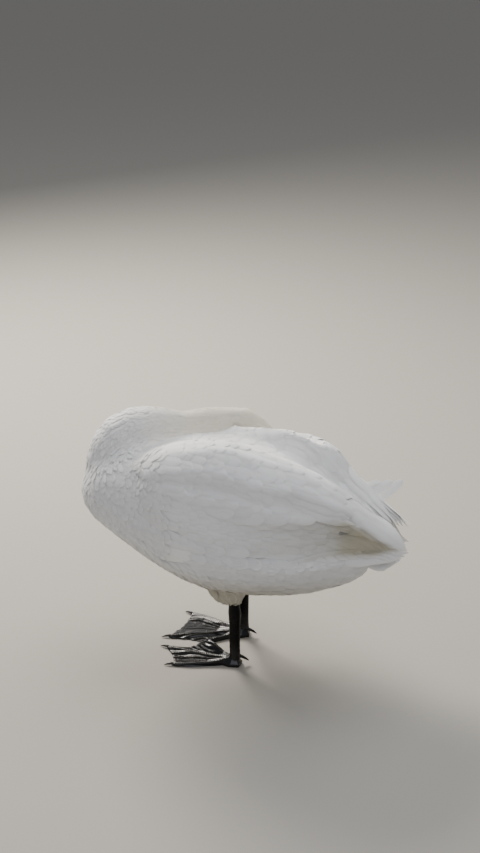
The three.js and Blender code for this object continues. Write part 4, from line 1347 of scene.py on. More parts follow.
@dataclass
class Coat:
    """Contour feathers on trunk, neck, head and thighs, laid in bands of size."""

    lie: Lie
    skin: Skin
    surface: Surface
    skin_uv: Array
    wings: Surface
    nest: Nest
    seed: int = 7
    band_step: float = 1.22
    wing_reach: float = 0.034  # how far out a folded wing may lie over the skin
    tip_height: float = 0.03  # how far a tip may stand off a wing that it lies on
    smallest: float = 1.45  # mm between roots on the face

    def bands(self) -> Array:
        """Number of the spacing band of each vertex of the skin."""
        size = self.lie.spacing(self.surface.points)
        return np.floor(np.log(size / self.smallest) / math.log(self.band_step)).astype(int)

    def covered(self, points: Array) -> Array:
        """Whether the large feathers of the folded wings cover each point."""
        x, y, z = points.T
        along, over = self.lie.off_head(points)
        apart = (over > 10) | (along < -70) | (along > 72)
        at, normals, _ = self.surface.near(points)
        under = self.wings.meets(at - normals * 0.002, normals, self.wing_reach)
        hem = WING_HEM(x) + 0.03 - 0.013 * ramp(x, -0.02, 0.03)
        wing = under & (x > -0.125) & (np.abs(y) > 0.018) & (z > hem)
        return wing & (self.lie.neck_share(points) < 0.2) & apart

    def over_wings(self, tips: Array, normals: Array) -> Array:
        """Whether feathers' tips would lie on the folded wings."""
        over = self.wings.meets(tips, -normals, self.tip_height)
        off_neck = self.lie.neck_share(tips) < 0.2
        x, _, z = tips.T
        return over & (x > -0.09) & (z > WING_HEM(x) + 0.026) & off_neck

    def roots(self) -> Array:
        """Roots of all contour feathers."""
        thing = add_object("roots", self.skin.mesh.copy())
        bands = self.bands()
        attribute = thing.data.attributes.new("band", "INT", "FACE")
        per_face = np.max(bands[self.surface.faces], axis=1)
        attribute.data.foreach_set("value", per_face.astype(np.int32))
        scatter = Scatter()
        found = []
        for band in np.unique(per_face):
            spacing = MM * self.smallest * self.band_step ** (float(band) + 0.5)
            found.append(scatter.roots(thing, spacing, int(band), self.seed + int(band)))
        bpy.data.objects.remove(thing)
        points = np.concatenate(found)
        bare = self.lie.bare(points) > 0.4
        return points[~self.covered(points) & ~bare]

    def lay(
        self, roots: Array, length: Array, kind: VaneKind, depth: Array, turn: Array
    ) -> tuple[Array, Array]:
        """Leads shafts over the skin along the flow.

        Args:
            roots: where the feathers grow.
            length: length of each.
            kind: their stations and lift.
            depth: depth of the coat at each.
            turn: angle by which each strays from the flow.

        Returns:
            Stations of the shafts and the outward directions there.
        """
        at, normals, face = self.surface.near(roots)
        places, outward = [at], [normals]
        for step in np.diff(kind.stations):
            flow = self.surface.sample(self.surface.flow, at, face)
            aim = unit(flow - normals * dot(flow, normals))
            aim = aim * np.cos(turn)[:, None] + np.cross(normals, aim) * np.sin(turn)[:, None]
            at, normals, face = self.surface.near(at + aim * (step * length)[:, None])
            places.append(at)
            outward.append(normals)
        path = np.stack(places, 1)
        normals = np.stack(outward, 1)
        low, high = kind.lift
        rise = low + (high - low) * np.array(kind.stations) ** kind.lift_power
        return path + normals * (rise[None] * depth[:, None])[..., None], normals

    def parts(self, roots: Array) -> dict[str, Array]:
        """Splits the roots among the pieces of the coat."""
        x, _, z = roots.T
        head = self.lie.head_weight(roots) > 0.5
        neck = (self.lie.neck_share(roots) > 0.5) & ~head
        thigh = (self.lie.leg_weight(roots) > 0.4) & ~neck
        rest = ~(head | neck | thigh)
        front = x < -0.16
        under = z < 0.3
        return {
            "coat_head": head,
            "coat_neck": neck,
            "coat_thighs": thigh,
            "coat_breast": rest & front,
            "coat_belly": rest & ~front & under,
            "coat_back": rest & ~front & ~under,
        }

    def build(self, material: Material) -> None:
        """Lays and dresses the coat's pieces."""
        rng = np.random.default_rng(self.seed)
        roots = self.roots()
        for name, chosen in self.parts(roots).items():
            some = roots[chosen]
            spacing = self.lie.spacing(some) * MM
            depth = self.lie.depth(some)
            fine = name in ("coat_head", "coat_neck")
            kind = FINE if fine else CONTOUR
            length = spacing * rng.uniform(3.9, 4.9, len(some))
            turn = rng.normal(0, 0.13 if fine else 0.11, len(some))
            loose = 1 + 0.3 * rng.uniform(0, 1, len(some)) ** 5
            path, normals = self.lay(some, length, kind, depth * loose, turn)
            keep = np.ones(len(some), bool)
            if not fine:
                keep = ~self.over_wings(path[:, -1], normals[:, -1])
            if name == "coat_back":
                along, left, _ = self.lie.skull.local(some).T
                keep &= (left > -20) | (along > 20) | (along < -110)
            some, spacing, path, normals = (v[keep] for v in (some, spacing, path, normals))
            nest = self.nest if name == "coat_back" else None
            plumage = Plumage(name, self.lie, self.surface, self.skin_uv, nest)
            half = spacing * rng.uniform(1.0, 1.25, len(some)) * (0.8 if fine else 1.0)
            plumage.add(kind, path, normals, half, rng)
            finish_piece(plumage.build(), material)


# ----- wings


@dataclass
class WingChart:
    """Folded wing's outer surface by place along the body and angle round it."""

    shell: Surface
    side: str

    def at(self, x: Array, angle: Array) -> tuple[Array, Array]:
        """Places and normals on the wing.

        Args:
            x: places along the body.
            angle: degrees round it, 0 at the side and 90 on top.

        Returns:
            The points and the outward directions, in the shape of the inputs.
        """
        x, angle = np.broadcast_arrays(x, angle)
        turn = np.radians(angle.ravel())
        aim = np.stack([np.zeros_like(turn), SIDES[self.side] * np.cos(turn), np.sin(turn)], 1)
        middle = np.stack([x.ravel(), np.zeros_like(turn), WING_AXIS(x.ravel())], 1)
        points, normals = self.shell.struck(middle + RAY_REACH * aim, -aim)
        return points.reshape(*x.shape, 3), normals.reshape(*x.shape, 3)


@dataclass(frozen=True)
class Row:
    """A row of vanes across the flow, from one angle to another."""

    x: float  # roots' place along the body at the top of the row
    rake: float  # how much further back the row's lowest root is
    angles: Span
    count: int
    length: float
    half: float
    turn: float = 0.0  # degrees of chart angle gained from root to tip
    kind: VaneKind = LARGE
    lift: Span = (-3.0, 0.5)  # mm over the wing's surface at root and tip


@dataclass(frozen=True)
class LongVane:
    """A long vane with a free tip."""

    root: Span  # place along the body and chart angle
    tip: Point  # mm from the stance, on the right wing
    face: Point  # which way the tip faces, on the right wing
    half: float
    sink: float  # mm of the root over the wing's surface
    rise: float  # mm of the outer part over it


@dataclass
class Wing:
    """A folded wing: shoulder feathers, coverts, secondaries, tertials and primaries."""

    side: str
    chart: WingChart
    lie: Lie
    skin: Surface
    skin_uv: Array
    seed: int = 11

    def inset(self, path: Array) -> Array:
        """How far the wing's side lies in at each station."""
        depth = RECESS_DEPTH * self.lie.recess(path.reshape(-1, 3))
        return depth.reshape(*path.shape[:-1], 1)

    def vanes(self, plumage: Plumage, rows: Sequence[Row], sunk: bool) -> None:
        """Lays rows of vanes on the wing's surface, or let into its side."""
        rng = np.random.default_rng(self.seed + len(rows))
        for number, row in enumerate(rows):
            stations = np.array(row.kind.stations)
            share = (np.arange(row.count) + 0.5 * (number % 2)) / max(row.count - 0.5, 1)
            share = np.clip(share + rng.normal(0, 0.12 / row.count, row.count), 0, 1)
            angle = row.angles[0] + (row.angles[1] - row.angles[0]) * share
            x = row.x + row.rake * share + rng.normal(0, 0.04 * row.length, row.count)
            length = row.length * rng.uniform(0.93, 1.07, row.count)
            turn = row.turn + rng.normal(0, 1.0, row.count)
            xs = x[:, None] + length[:, None] * stations
            path, normals = self.chart.at(xs, angle[:, None] + turn[:, None] * stations)
            low, high = row.lift
            rise = MM * (low + (high - low) * stations**0.7 + rng.uniform(0, 0.8, (row.count, 1)))
            half = row.half * rng.uniform(0.92, 1.08, row.count)
            path = path + normals * (rise[..., None] - (self.inset(path) if sunk else 0))
            ease(path)
            plumage.add(
                row.kind, path, normals, half, rng, 0.05, self.chart.shell, np.ones(len(stations))
            )

    def scapulars(self) -> list[Row]:
        """Shoulder feathers, in rows that grow longer towards the tail."""
        rows = []
        x, step = -0.165, 0.0165
        while x < 0.106:
            reach = (x + 0.165) / 0.271
            length = 0.056 + 0.054 * reach
            low = float(SHOULDER_EDGE(x + 0.85 * length)) + 3.5
            half = 0.0135 + 0.01 * reach
            count = max(int(0.19 * (1 - 0.3 * reach) / half * 1.15), 5)
            rows.append(Row(x, 0.01, (88.0, low), count, length, half, -1.5))
            x += step * (1 + 0.6 * reach)
        rows.append(Row(0.1, 0.0, (92, 62), 6, 0.11, 0.019, 0.0))
        rows.append(Row(0.086, 0.004, (41, 31), 3, 0.132, 0.016, -2.0, POINTED, (-2.0, 2.6)))
        return rows

    def coverts(self) -> list[Row]:
        """Lesser, median and greater coverts."""
        rows = []
        x, step = -0.15, 0.0145
        while x < 0.1:
            reach = (x + 0.15) / 0.25
            half = 0.0105 + 0.0085 * reach
            end = x + 0.8 * (0.046 + 0.05 * reach)
            drop = float(WING_HEM(end) + 0.014 + 0.85 * half - WING_AXIS(end))
            low = math.degrees(math.atan2(drop, 0.165))
            rows.append(
                Row(x, -0.004, (22, low), 7 if reach < 0.5 else 6, 0.046 + 0.05 * reach, half, -0.5,
                    LARGE, (-6.0, -2.2))
            )
            x += step * (1 + 0.7 * reach)
        return rows

    def secondaries(self) -> list[LongVane]:
        """Long parallel vanes of the arm, their tips in a slanting edge."""
        tips = (
            (334, 34, 287), (327, 40, 288), (317, 48, 289), (306, 56, 291), (294, 64, 293),
            (280, 73, 295), (265, 81, 296), (248, 90, 297), (230, 98, 298), (210, 107, 298),
            (190, 116, 299), (168, 124, 301),
        )
        return [
            LongVane((0.11 - 0.011 * i, 24.0 - 2.9 * i), tip, (0.12, 1.0, 0.2), 0.0185, -6.0, -2.6)
            for i, tip in enumerate(tips)
        ]

    def long_vanes(self, plumage: Plumage, vanes: Sequence[LongVane], sunk: bool) -> None:
        """Leads long vanes along the wing's surface, or let into its side, to free tips."""
        rng = np.random.default_rng(self.seed + 3)
        stations = np.array(QUILL.stations)
        x, angle, low, high, half = np.array(
            [(*v.root, v.sink, v.rise, v.half) for v in vanes]
        ).T[:, :, None]
        near, normals = self.chart.at(x + np.array([[0.0, 0.05]]), angle)
        root, outward = near[:, 0], normals[:, 0]
        flip = np.array([1.0, SIDES[self.side], 1.0])
        tip = np.array([place(*v.tip) for v in vanes]) * flip
        span = np.linalg.norm(tip - root, axis=1, keepdims=True)
        bend = root + unit(near[:, 1] - near[:, 0]) * span * 0.5
        t = stations[None, :, None]
        path = (1 - t) ** 2 * root[:, None] + 2 * t * (1 - t) * bend[:, None] + t * t * tip[:, None]
        at, _, _ = self.chart.shell.near(path.reshape(-1, 3))
        at = at.reshape(path.shape)
        free = ramp(t, 0.7, 0.95)
        path = at * (1 - free) + path * free
        face = unit(np.array([v.face for v in vanes]) * flip)
        facing = unit(outward[:, None] * (1 - t) + face[:, None] * t)
        low, high = low[..., None], high[..., None]
        rise = MM * (low + (high - low) * t**0.8) * (1 - free)
        path = path + facing * (rise - (self.inset(path) if sunk else 0))
        for _ in range(6):
            ease(path)
        half = half[:, 0] * rng.uniform(0.96, 1.04, len(vanes))
        hold = 1 - free[0, :, 0]
        plumage.add(QUILL, path, unit(facing), half, rng, 0.05, self.chart.shell, hold)

    def tertials(self) -> list[LongVane]:
        """Broad vanes that close over the rump, in two layers."""
        tips = {
            "left": ((346, 27, 286), (342, 22, 294), (336, 17, 302), (328, 11, 310), (318, 6, 317),
                     (302, 3, 328), (284, 2, 338)),
            "right": ((354, 30, 313), (346, 27, 313), (336, 23, 315), (325, 18, 320),
                      (312, 12, 328), (297, 7, 337), (281, 4, 347)),
        }[self.side]
        out, turn, start = {"left": (1.0, 0.9, 0.115), "right": (0.25, 0.75, 0.13)}[self.side]
        angles = {"left": (50, 57, 64, 71, 78, 84, 90), "right": (42, 50, 58, 66, 74, 80, 88)}[self.side]
        upper, lower = [], []
        for i, (tip, angle) in enumerate(zip(tips, angles)):
            share = i / (len(tips) - 1)
            face = (0.3, out - turn * share, 0.5 + 0.8 * share)
            upper.append(LongVane((start, angle), tip, face, 0.023, -4.0, 0.2 + 1.2 * share))
            inner = (tip[0] - 17, tip[1] + 3, tip[2] - 2)
            lower.append(LongVane((start + 0.02, angle - 5), inner, face, 0.024, -5.5, -2.5 + share))
        return lower + upper[::-1]

    def primaries(self) -> list[LongVane]:
        """Narrow stiff vanes of the hand, one beneath the other."""
        tips = (
            (350, 22, 279), (343, 29, 274), (333, 38, 270), (320, 47, 270), (305, 56, 272),
            (288, 65, 275),
        )
        return [
            LongVane((0.15 - 0.012 * i, -12 - 1.3 * i), tip, (0.1, 1.0, 0.12), 0.013, -6, -1 - 0.5 * i)
            for i, tip in enumerate(tips)
        ]

    def build(self, material: Material) -> None:
        """Lays and dresses the wing's pieces."""
        plan = {
            "scapulars": (self.scapulars(), False),
            "coverts": (self.coverts(), True),
            "secondaries": (self.secondaries(), True),
            "tertials": (self.tertials(), False),
            "primaries": (self.primaries(), False),
        }
        for name, (feathers, sunk) in plan.items():
            plumage = Plumage(f"{name}_{self.side}", self.lie, self.skin, self.skin_uv)
            plumage.pale = True
            if isinstance(feathers[0], Row):
                self.vanes(plumage, feathers, sunk)
            else:
                self.long_vanes(plumage, feathers, sunk)
            if name == "tertials" and self.side == "right":
                self.loose_tertials(plumage)
            finish_piece(plumage.build(), material)

    def loose_tertials(self, plumage: Plumage) -> None:
        """Three vanes that stand up clear of the back."""
        rng = np.random.default_rng(self.seed)
        roots = np.array([place(246, 42, 384), place(262, 40, 374), place(280, 38, 362)])
        tips = np.array([place(287, 56, 396), place(311, 58, 400), place(332, 62, 402)])
        stations = np.array(QUILL.stations)[None, :, None]
        path = roots[:, None] + (tips - roots)[:, None] * stations
        normals = np.broadcast_to(unit(np.array([0.0, -1.0, 0.45])), path.shape)
        plumage.add(QUILL, path, normals, np.full(3, 0.0098), rng)


@dataclass
class PackedVanes:
    """Inner vanes and down that fill the folded wings behind the body, as one closed body."""

    shell: Surface
    lie: Lie
    nest: Nest
    ends: Span = (0.085, 0.326)
    depth: float = 0.0085
    rings: int = 70
    sides: int = 96

    def build(self, material: Material) -> None:
        """Draws sections in from the wings' shape and joins them."""
        x, turn = grid_round(np.linspace(*self.ends, self.rings), self.sides)
        aim = np.stack([0 * turn, np.cos(turn), np.sin(turn)], -1)
        middle = np.stack([x, 0 * x, WING_AXIS(x)], -1)
        starts = (middle + RAY_REACH * aim).reshape(-1, 3)
        at, _ = self.shell.struck(starts, -aim.reshape(-1, 3))
        reach = np.linalg.norm(at.reshape(middle.shape) - middle, axis=2)
        reach = reach - self.depth - RECESS_DEPTH * self.lie.recess(at).reshape(x.shape)
        for _ in range(2):
            around = np.minimum(np.roll(reach, 1, 1), np.roll(reach, -1, 1))
            reach = np.minimum(reach, around)
            reach[1:-1] = np.minimum(reach[1:-1], np.minimum(reach[2:], reach[:-2]))
        for _ in range(6):
            reach = 0.5 * reach + 0.25 * (np.roll(reach, 1, 1) + np.roll(reach, -1, 1))
            reach[1:-1] = 0.5 * reach[1:-1] + 0.25 * (reach[2:] + reach[:-2])
        reach = np.maximum(reach, 0.002) * np.sqrt(ramp(x, self.ends[1] + 0.001, self.ends[1] - 0.04))
        reach = reach * (0.5 + 0.5 * ramp(x, self.ends[0], self.ends[0] + 0.03))
        rings = self.nest.bed((middle + reach[..., None] * aim).reshape(-1, 3)).reshape(aim.shape)
        mesh = solid_mesh("packed_vanes", [tube(rings)])
        points, _ = mesh_arrays(mesh)
        zero = np.zeros(len(points))
        # The olive-brown share holds real stains and painted shade in the wing's hollow.
        for name, values in (("cream", zero), ("stain_and_shade", self.lie.stain_and_shade(points)), ("bare", zero)):
            set_floats(mesh, name, values)
        nodes = wing_nodes("tertials", "primaries")
        finish_piece(add_object("packed_vanes", mesh), material, nodes)


@dataclass
class Tail:
    """Short fan of stiff vanes under the wing tips."""

    lie: Lie
    skin: Surface
    skin_uv: Array
    root: Array = field(default_factory=lambda: place(200, 0, 298))
    tip: Array = field(default_factory=lambda: place(337, 0, 250))
    pairs: int = 6
    seed: int = 17

    def build(self, material: Material) -> None:
        """Lays and dresses the tail."""
        rng = np.random.default_rng(self.seed)
        plumage = Plumage("tail_vanes", self.lie, self.skin, self.skin_uv)
        stations = np.array(QUILL.stations)[None, :, None]
        for layer in range(2):
            share = np.linspace(-1, 1, 2 * self.pairs - layer)
            inward = 1 - 0.1 * layer
            roots = self.root + np.stack([0.0 * share, 0.02 * share, -0.004 * layer - 0.006 * share**2], 1)
            reach = self.tip[0] - self.root[0] - 0.03 * np.abs(share) ** 1.5
            tips = self.root + np.stack(
                [reach * inward, 0.03 * share, (self.tip[2] - self.root[2]) * inward
                 + 0.008 * layer - 0.009 * share**2], 1
            )
            path = roots[:, None] + (tips - roots)[:, None] * stations
            path[..., 2] += 0.012 * (stations * (1 - stations))[..., 0]
            normals = unit(np.stack([0.3 + 0 * share, 0.6 * share, np.ones_like(share)], 1))
            normals = np.broadcast_to(normals[:, None], path.shape)
            half = np.full(len(share), 0.0185) * rng.uniform(0.95, 1.05, len(share))
            plumage.add(QUILL, path, normals, half, rng)
        finish_piece(plumage.build(), material, ("tail",))


# ----- head's bare parts


def tube(rings: Array) -> tuple[Array, Array]:
    """Closed surface through rings of equal length, with a fan at each end.

    Args:
        rings: rings by points by three.

    Returns:
        Points and triangles or quads as index arrays of four, with the last doubled for a triangle.
    """
    count, size = rings.shape[:2]
    corner, ahead = lattice(count, size)
    quads = np.stack([corner[:-1], ahead[:-1], ahead[1:], corner[1:]], -1)
    hubs = count * size + np.array([0, 1])
    first = np.stack([np.full(size, hubs[0]), ahead[0], corner[0], corner[0]], -1)
    last = np.stack([np.full(size, hubs[1]), corner[-1], ahead[-1], ahead[-1]], -1)
    points = np.concatenate([rings.reshape(-1, 3), rings[[0, -1]].mean(1)])
    return points, np.concatenate([quads.reshape(-1, 4), first, last])


def solid_mesh(name: str, parts: Sequence[tuple[Array, Array]]) -> Mesh:
    """One mesh of closed surfaces, with their faces turned outwards."""
    points: list[Array] = []
    faces: list[list[int]] = []
    for places, index in parts:
        first = len(points)
        points.extend(places.tolist())
        for face in (index + first).tolist():
            faces.append(face[:3] if face[2] == face[3] else face)
    mesh = bpy.data.meshes.new(name)
    mesh.from_pydata(points, [], faces)
    work = bmesh.new()
    work.from_mesh(mesh)
    bmesh.ops.remove_doubles(work, verts=work.verts, dist=1e-7)
    bmesh.ops.recalc_face_normals(work, faces=work.faces)
    work.to_mesh(mesh)
    work.free()
    shade_smooth(mesh)
    mesh.update()
    return mesh


def signed_power(value: Array, exponent: float) -> Array:
    """Power that keeps the sign."""
    return np.sign(value) * np.abs(value) ** exponent


@dataclass
class Bill:
    """Orange bill with black nail, edges and nostrils, and the knob over its root."""

    skull: Skull
    length: float = 80.0
    gape: float = -5.0
    half_width: Curve = profile((0, 12.5), (0.35, 11), (0.75, 12.8), (0.93, 9.5), (0.985, 5.5), (1, 3))
    top: Curve = profile((0, 14.5), (0.25, 8), (0.6, 3.6), (0.9, 2.2), (1, -1.5))
    lower_depth: Curve = profile((0, 8), (0.5, 5), (0.9, 2.6), (1, 1.4))
    stations: int = 72
    sides: int = 48

    def half(self, upper: bool) -> Array:
        """Rings of one half of the bill."""
        t, angle = grid_round(1 - (1 - np.linspace(0, 1, self.stations)) ** 1.25, self.sides)
        if upper:
            low, high, wide, length = self.gape + 0 * t, self.top(t), self.half_width(t), self.length
        else:
            high = self.gape - 0.4 + 0 * t
            low = high - self.lower_depth(t)
            wide, length = 0.86 * self.half_width(t), 0.96 * self.length
        cos, sin = np.cos(angle), np.sin(angle)
        left = wide * signed_power(cos, 0.8)
        up = (low + high) / 2 + (high - low) / 2 * signed_power(sin, 0.8)
        if upper:
            nail = ramp(t, 0.84, 0.88) * ramp(np.abs(left), 6.5, 5.2) * (sin > 0)
            nostril = np.exp(-(((t - 0.45) / 0.06) ** 2) - (((sin - 0.45) / 0.3) ** 2)) * (sin > 0)
            ridge = 0.5 * ramp(t, 0.5, 0.1) * np.exp(-((cos / 0.22) ** 2)) * (sin > 0)
            up = up + 0.7 * nail + ridge - 0.5 * nostril
            left = left * (1 - 0.13 * nostril)
        up = up - 1.1 * ramp(t, 0.86, 1) * ramp(t, 0.84, 1) * (1 if upper else 0.3)
        return self.skull.point(self.skull.bill_base + 0.4 + t * length, left, up)

    def dark(self, points: Array, upper: bool) -> Array:
        """Share of black on the bill."""
        along, left, up = self.skull.local(points).T
        t = (along - self.skull.bill_base) / self.length
        aside = np.abs(left)
        root = ramp(t, 0.07 + 0.004 * np.clip(up, 0, 12), 0.02)
        edge = ramp(up, self.gape + 1.5, self.gape + 0.7) if upper else ramp(up, -7.2, -6.2)
        edge = edge * ramp(aside, 2, 6)
        nail = ramp(t, 0.85, 0.875) * ramp(aside, 6.6, 5.6) if upper else ramp(t, 0.86, 0.9)
        nostril = np.exp(-(((t - 0.45) / 0.055) ** 2) * 1.4 - ((up - 3.1) / 1.5) ** 2)
        hole = ramp(nostril, 0.35, 0.6) * ramp(aside, 3, 5) if upper else 0 * t
        culmen = ramp(t, 0.2, 0.12) * ramp(aside, 5, 3) * ramp(up, 5, 8) if upper else 0 * t
        return np.max([root, edge, nail, hole, culmen], axis=0)

    def knob(self) -> tuple[Array, Array]:
        """Fleshy black knob on the forehead's edge."""
        tilt, turn = grid_round(np.linspace(0.02, np.pi - 0.02, 30), 44)
        lobes = 1 + 0.025 * np.sin(3 * turn + 1) * np.sin(tilt) + 0.02 * np.cos(5 * tilt + 2 * turn)
        along = 12.8 * np.cos(tilt) * lobes
        left = 9.3 * np.sin(tilt) * np.cos(turn) * lobes
        up = 8.3 * np.sin(tilt) * np.sin(turn) * lobes
        return tube(self.skull.point(self.skull.bill_base + 5 + along, left, 14 + up))

    def build(self, horn: Material) -> None:
        """Makes and dresses both halves and the knob."""
        for node, upper in (("bill_upper", True), ("bill_lower", False)):
            mesh = solid_mesh(f"{node}_sheath", [tube(self.half(upper))])
            points, _ = mesh_arrays(mesh)
            set_floats(mesh, "dark", self.dark(points, upper))
            finish_piece(add_object(mesh.name, mesh), horn, (node,))
        mesh = solid_mesh("knob", [self.knob()])
        set_floats(mesh, "dark", np.ones(len(mesh.vertices)))
        finish_piece(add_object("knob", mesh), horn, ("bill_knob",))


@dataclass
class Eye:
    """An eyeball with a cornea, and drowsy black lids."""

    skull: Skull
    side: int  # 1 on the head's left, -1 on its right
    radius: float = 7.5
    opening: Point = (5.9, 3.0, 3.4)  # half length, upper and lower height

    def frame(self) -> tuple[Array, Array]:
        """Middle of the eye, and its axes: gaze, towards the bill, and up."""
        middle = self.skull.point(25, self.side * 17, 8)
        forward, left, up = self.skull.axes
        gaze = unit(self.side * left + 0.22 * forward + 0.12 * up)
        front = unit(forward - gaze * float(np.dot(forward, gaze)))
        return middle, np.array([gaze, front, np.cross(gaze, front) * self.side])

    def shell(self, tilt: Array, turn: Array, radius: Array) -> Array:
        """Points at a tilt from the gaze, a turn round it and a distance in millimetres."""
        middle, axes = self.frame()
        local = np.stack(
            [np.cos(tilt), np.sin(tilt) * np.cos(turn), np.sin(tilt) * np.sin(turn)], -1
        )
        return middle + MM * radius[..., None] * (local @ axes)

    def ball(self) -> Mesh:
        """The eyeball, with the distance from its gaze at each vertex."""
        tilt, turn = grid_round(np.linspace(0.004, np.pi - 0.004, 48), 64)
        cornea = 0.35 * np.exp(-((tilt / 0.5) ** 4))
        mesh = solid_mesh("eyeball", [tube(self.shell(tilt, turn, self.radius - 0.05 + cornea))])
        points, _ = mesh_arrays(mesh)
        middle, axes = self.frame()
        off = np.linalg.norm(np.cross(points - middle, axes[0]), axis=1) / MM
        front = (points - middle) @ axes[0] > 0
        set_floats(mesh, "ring", np.where(front, off / 5.4, 2.0))
        return mesh

    def lids(self) -> tuple[Array, Array]:
        """Both lids as one closed rim round the opening."""
        turn = np.linspace(0, 2 * np.pi, 72, endpoint=False)
        half, upper, lower = self.opening
        tall = np.where(np.sin(turn) > 0, upper, lower)
        gap = 1 / np.sqrt((np.cos(turn) / half) ** 2 + (np.sin(turn) / tall) ** 2)
        start = np.arcsin(gap / self.radius)
        rows = []
        for share, height in ((1, 0.05), (0.4, 0.05), (0.0, 0.1), (-0.02, 0.45), (0.03, 0.85),
                              (0.1, 1.0), (0.2, 0.8), (0.3, 0.62), (0.45, 0.7), (0.7, 0.5), (1, 0.2)):
            tilt = start + share * (1.2 - start)
            rows.append(self.shell(tilt, turn, np.full_like(turn, self.radius + height)))
        rings = np.array(rows)
        corner, ahead = lattice(*rings.shape[:2])
        quads = np.stack([corner, ahead, np.roll(ahead, -1, 0), np.roll(corner, -1, 0)], -1)
        return rings.reshape(-1, 3), quads.reshape(-1, 4)


@dataclass
class Face:
    """Eyes and lids on both sides of the head."""

    skull: Skull

    def build(self, wet: Material, bare: Material) -> None:
        """Makes and dresses them."""
        eyes = {"left": Eye(self.skull, 1), "right": Eye(self.skull, -1)}
        for side, eye in eyes.items():
            finish_piece(add_object(f"eyeball_{side}", eye.ball()), wet, (f"eye_{side}",))
        lids = solid_mesh("lids", [eye.lids() for eye in eyes.values()])
        finish_piece(add_object("eyelids", lids), bare)


# ----- legs


@dataclass
class Leg:
    """Bare leg with its webbed foot: scutes on shin and toes, folds in the webs."""

    side: str
    voxel: float = 0.00115
    scute: float = 5.0  # mm
    toe_scute: float = 4.6
    toe_width: float = 6.0
    fold_height: float = 1.1
    toes: dict[str, tuple[Span, ...]] = field(
        default_factory=lambda: {
            "left": ((-42, 92), (-15, 160), (9, 136)),
            "right": ((-27, 144), (11, 166), (30, 96)),
        }
    )

    def relief(self, points: Array, normals: Array) -> Array:
        """Height of scutes and folds at points of the foot, in millimetres."""
        x, y, z = ((points - foot_place(self.side)) / MM).T
        reach = np.hypot(x, y)
        heading = np.degrees(np.arctan2(-y, -x))
        top = ramp(normals[:, 2], 0.15, 0.5) * ramp(z, 0.8, 1.6)
        fans = self.toes[self.side]
        height = np.zeros(len(points))
        on_toe = np.zeros(len(points))
        for at, _ in fans:
            off = reach * np.sin(np.radians(np.clip(heading - at, -90, 90)))
            near = np.exp(-((off / self.toe_width) ** 4)) * ramp(reach, 14, 22) * (np.abs(heading - at) < 80)
            wave = (reach / self.toe_scute) % 1
            height += 0.42 * near * top * (1 - (2 * wave - 1) ** 4 - 0.5)
            on_toe = np.maximum(on_toe, near)
        web = (heading > fans[0][0]) & (heading < fans[-1][0])
        spread = 1 + 0.16 * np.sin(reach / 17 + 0.09 * heading)
        folds = np.sin(heading * 0.95 * spread + 1.7 * np.sin(reach / 31))
        cross = np.sin(reach / 6.2 + 0.25 * heading)
        growth = ramp(reach, 30, 90)
        height += web * (1 - on_toe) * top * growth * (self.fold_height * folds + 0.18 * cross)
        shin = ramp(z, 16, 26) * ramp(z, 122, 112)
        front = ramp(-normals[:, 0], 0.1, 0.6)
        ring = (z / self.scute) % 1
        plates = 0.45 * (1 - (2 * ring - 1) ** 4 - 0.5)
        height += shin * front * plates + 0.5 * shin * (1 - front) * 0.3 * np.sin(z * 1.9) * np.sin(
            3.1 * np.degrees(np.arctan2(y, x)) / 20
        )
        return height

    def build(self, skin: Material, horn: Material) -> None:
        """Makes and dresses the leg and its claws."""
        nodes = [f"leg_{self.side}_tarsus", f"leg_{self.side}_foot"]
        mesh = melted(joined_copy(nodes), self.voxel, 4)
        surface = Surface(mesh)
        height = self.relief(surface.points, surface.normals)
        moved = surface.points + surface.normals * (MM * height)[:, None]
        moved[:, 2] = np.maximum(moved[:, 2], 0)
        move_points(mesh, moved)
        finish_piece(add_object(f"foot_{self.side}", mesh), skin, nodes)
        claws = [f"claw_{self.side}_{toe}" for toe in ("outer", "middle", "inner")]
        mesh = applied(joined_copy(claws), ("SUBSURF", {"levels": 2, "render_levels": 2}))
        shade_smooth(mesh)
        set_floats(mesh, "dark", np.ones(len(mesh.vertices)))
        finish_piece(add_object(f"claws_{self.side}", mesh), horn, claws)


# ----- stage


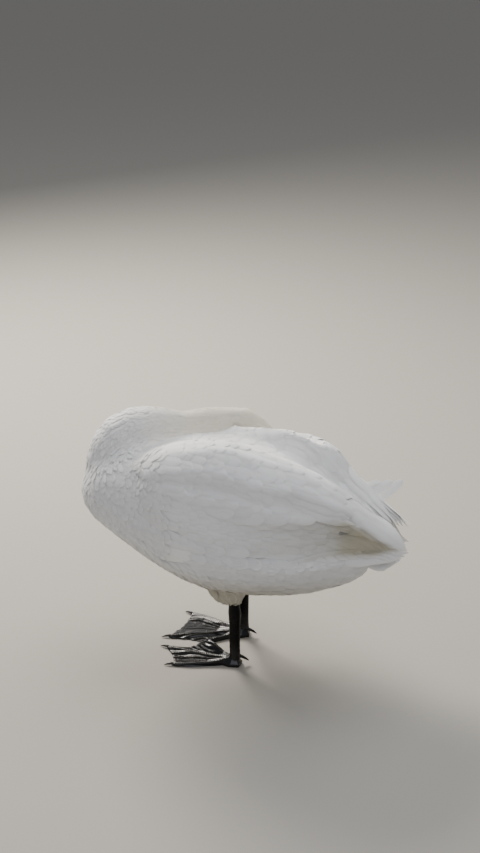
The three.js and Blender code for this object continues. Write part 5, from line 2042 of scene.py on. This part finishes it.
@dataclass
class Studio:
    """Pale floor, soft lights and the camera."""

    camera_place: Point = (0.27817, -2.33593, 1.63)
    camera_turn: Span = (-25.0, 7.0)  # degrees up and round
    lens: float = 54.865

    def floor(self) -> None:
        """A wide pale floor."""
        bpy.ops.mesh.primitive_plane_add(size=80)
        floor = bpy.context.object
        floor.name = "floor"
        floor.data.materials.append(FloorFinish().make())

    def lamp(
        self, name: str, at: Point, aim: Point, size: float, watts: float, colour: str = "ffffff"
    ) -> None:
        """A square soft light."""
        data = bpy.data.lights.new(name, "AREA")
        data.size = size
        data.energy = watts
        data.color = linear(colour)[:3]
        lamp = add_object(name, data)
        lamp.location = at
        lamp.rotation_euler = (Vector(aim) - Vector(at)).to_track_quat("-Z", "Y").to_euler()

    def build(self) -> None:
        """Sets the stage."""
        self.floor()
        self.lamp("key", (-1.5, 1.9, 2.1), (0, 0, 0.35), 1.2, 150, "fff8ee")
        self.lamp("top", (0.5, 0.9, 3.2), (0, 0, 0.3), 2.4, 62)
        self.lamp("fill", (0.3, -3.0, 2.6), (0, 0, 0.35), 2.6, 42, "eef0fa")
        world = bpy.data.worlds.new("soft_studio")
        world.use_nodes = True
        sky = world.node_tree.nodes["Background"].inputs
        sky[0].default_value, sky[1].default_value = linear("dfe2ea"), 0.4
        bpy.context.scene.world = world
        data = bpy.data.cameras.new("camera")
        data.lens = self.lens
        data.sensor_width = 36
        camera = add_object("camera", data)
        camera.location = self.camera_place
        pitch, turn = self.camera_turn
        camera.rotation_euler = (math.radians(90 + pitch), 0, math.radians(turn))
        bpy.context.scene.camera = camera


# ----- main


def wing_shell(nest: Nest) -> Surface:
    """Surface of trunk and folded wings with the hollow for the head, for laying vanes on."""
    mesh = melted(joined_copy(["trunk", *WINGS]), 0.0045, 8)
    points, _ = mesh_arrays(mesh)
    move_points(mesh, nest.settle(points))
    mesh = applied(mesh, smoothing(7))
    surface = Surface(mesh)
    bpy.data.meshes.remove(mesh)
    return surface


def main() -> None:
    """Builds the swan piece by piece."""
    logging.basicConfig(level=logging.INFO, format="%(relativeCreated)6d ms %(message)s")
    lie = Lie(NeckLine(), Skull())
    feathers = PlumageFinish().make()
    skin = Skin(lie)
    skin.shape()
    log.info("skin shaped: %d faces", len(skin.mesh.polygons))
    skin_uv = skin.unwrap()
    log.info("skin unwrapped")
    surface = Surface(skin.mesh)
    surface.settle(lie)
    nest = Nest(lie.skull)
    shell = wing_shell(nest)
    wings = Surface(joined_copy(WINGS))
    log.info("wing shell ready")
    down = DownFinish().make()
    Coat(lie, skin, surface, skin_uv, wings, nest).build(feathers)
    for side in SIDES:
        Wing(side, WingChart(shell, side), lie, surface, skin_uv).build(feathers)
    PackedVanes(shell, lie, nest).build(down)
    Tail(lie, surface, skin_uv).build(feathers)
    skin.dress(down)
    horn = HornFinish("waxy_bill_keratin", "e0762f", "c85c22").make()
    leg_skin = LegSkinFinish().make()
    Bill(lie.skull).build(horn)
    Face(lie.skull).build(EyeFinish().make(), leg_skin)
    for side in SIDES:
        Leg(side).build(leg_skin, horn)
    Studio().build()
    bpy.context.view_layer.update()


if __name__ == "__main__":
    main()
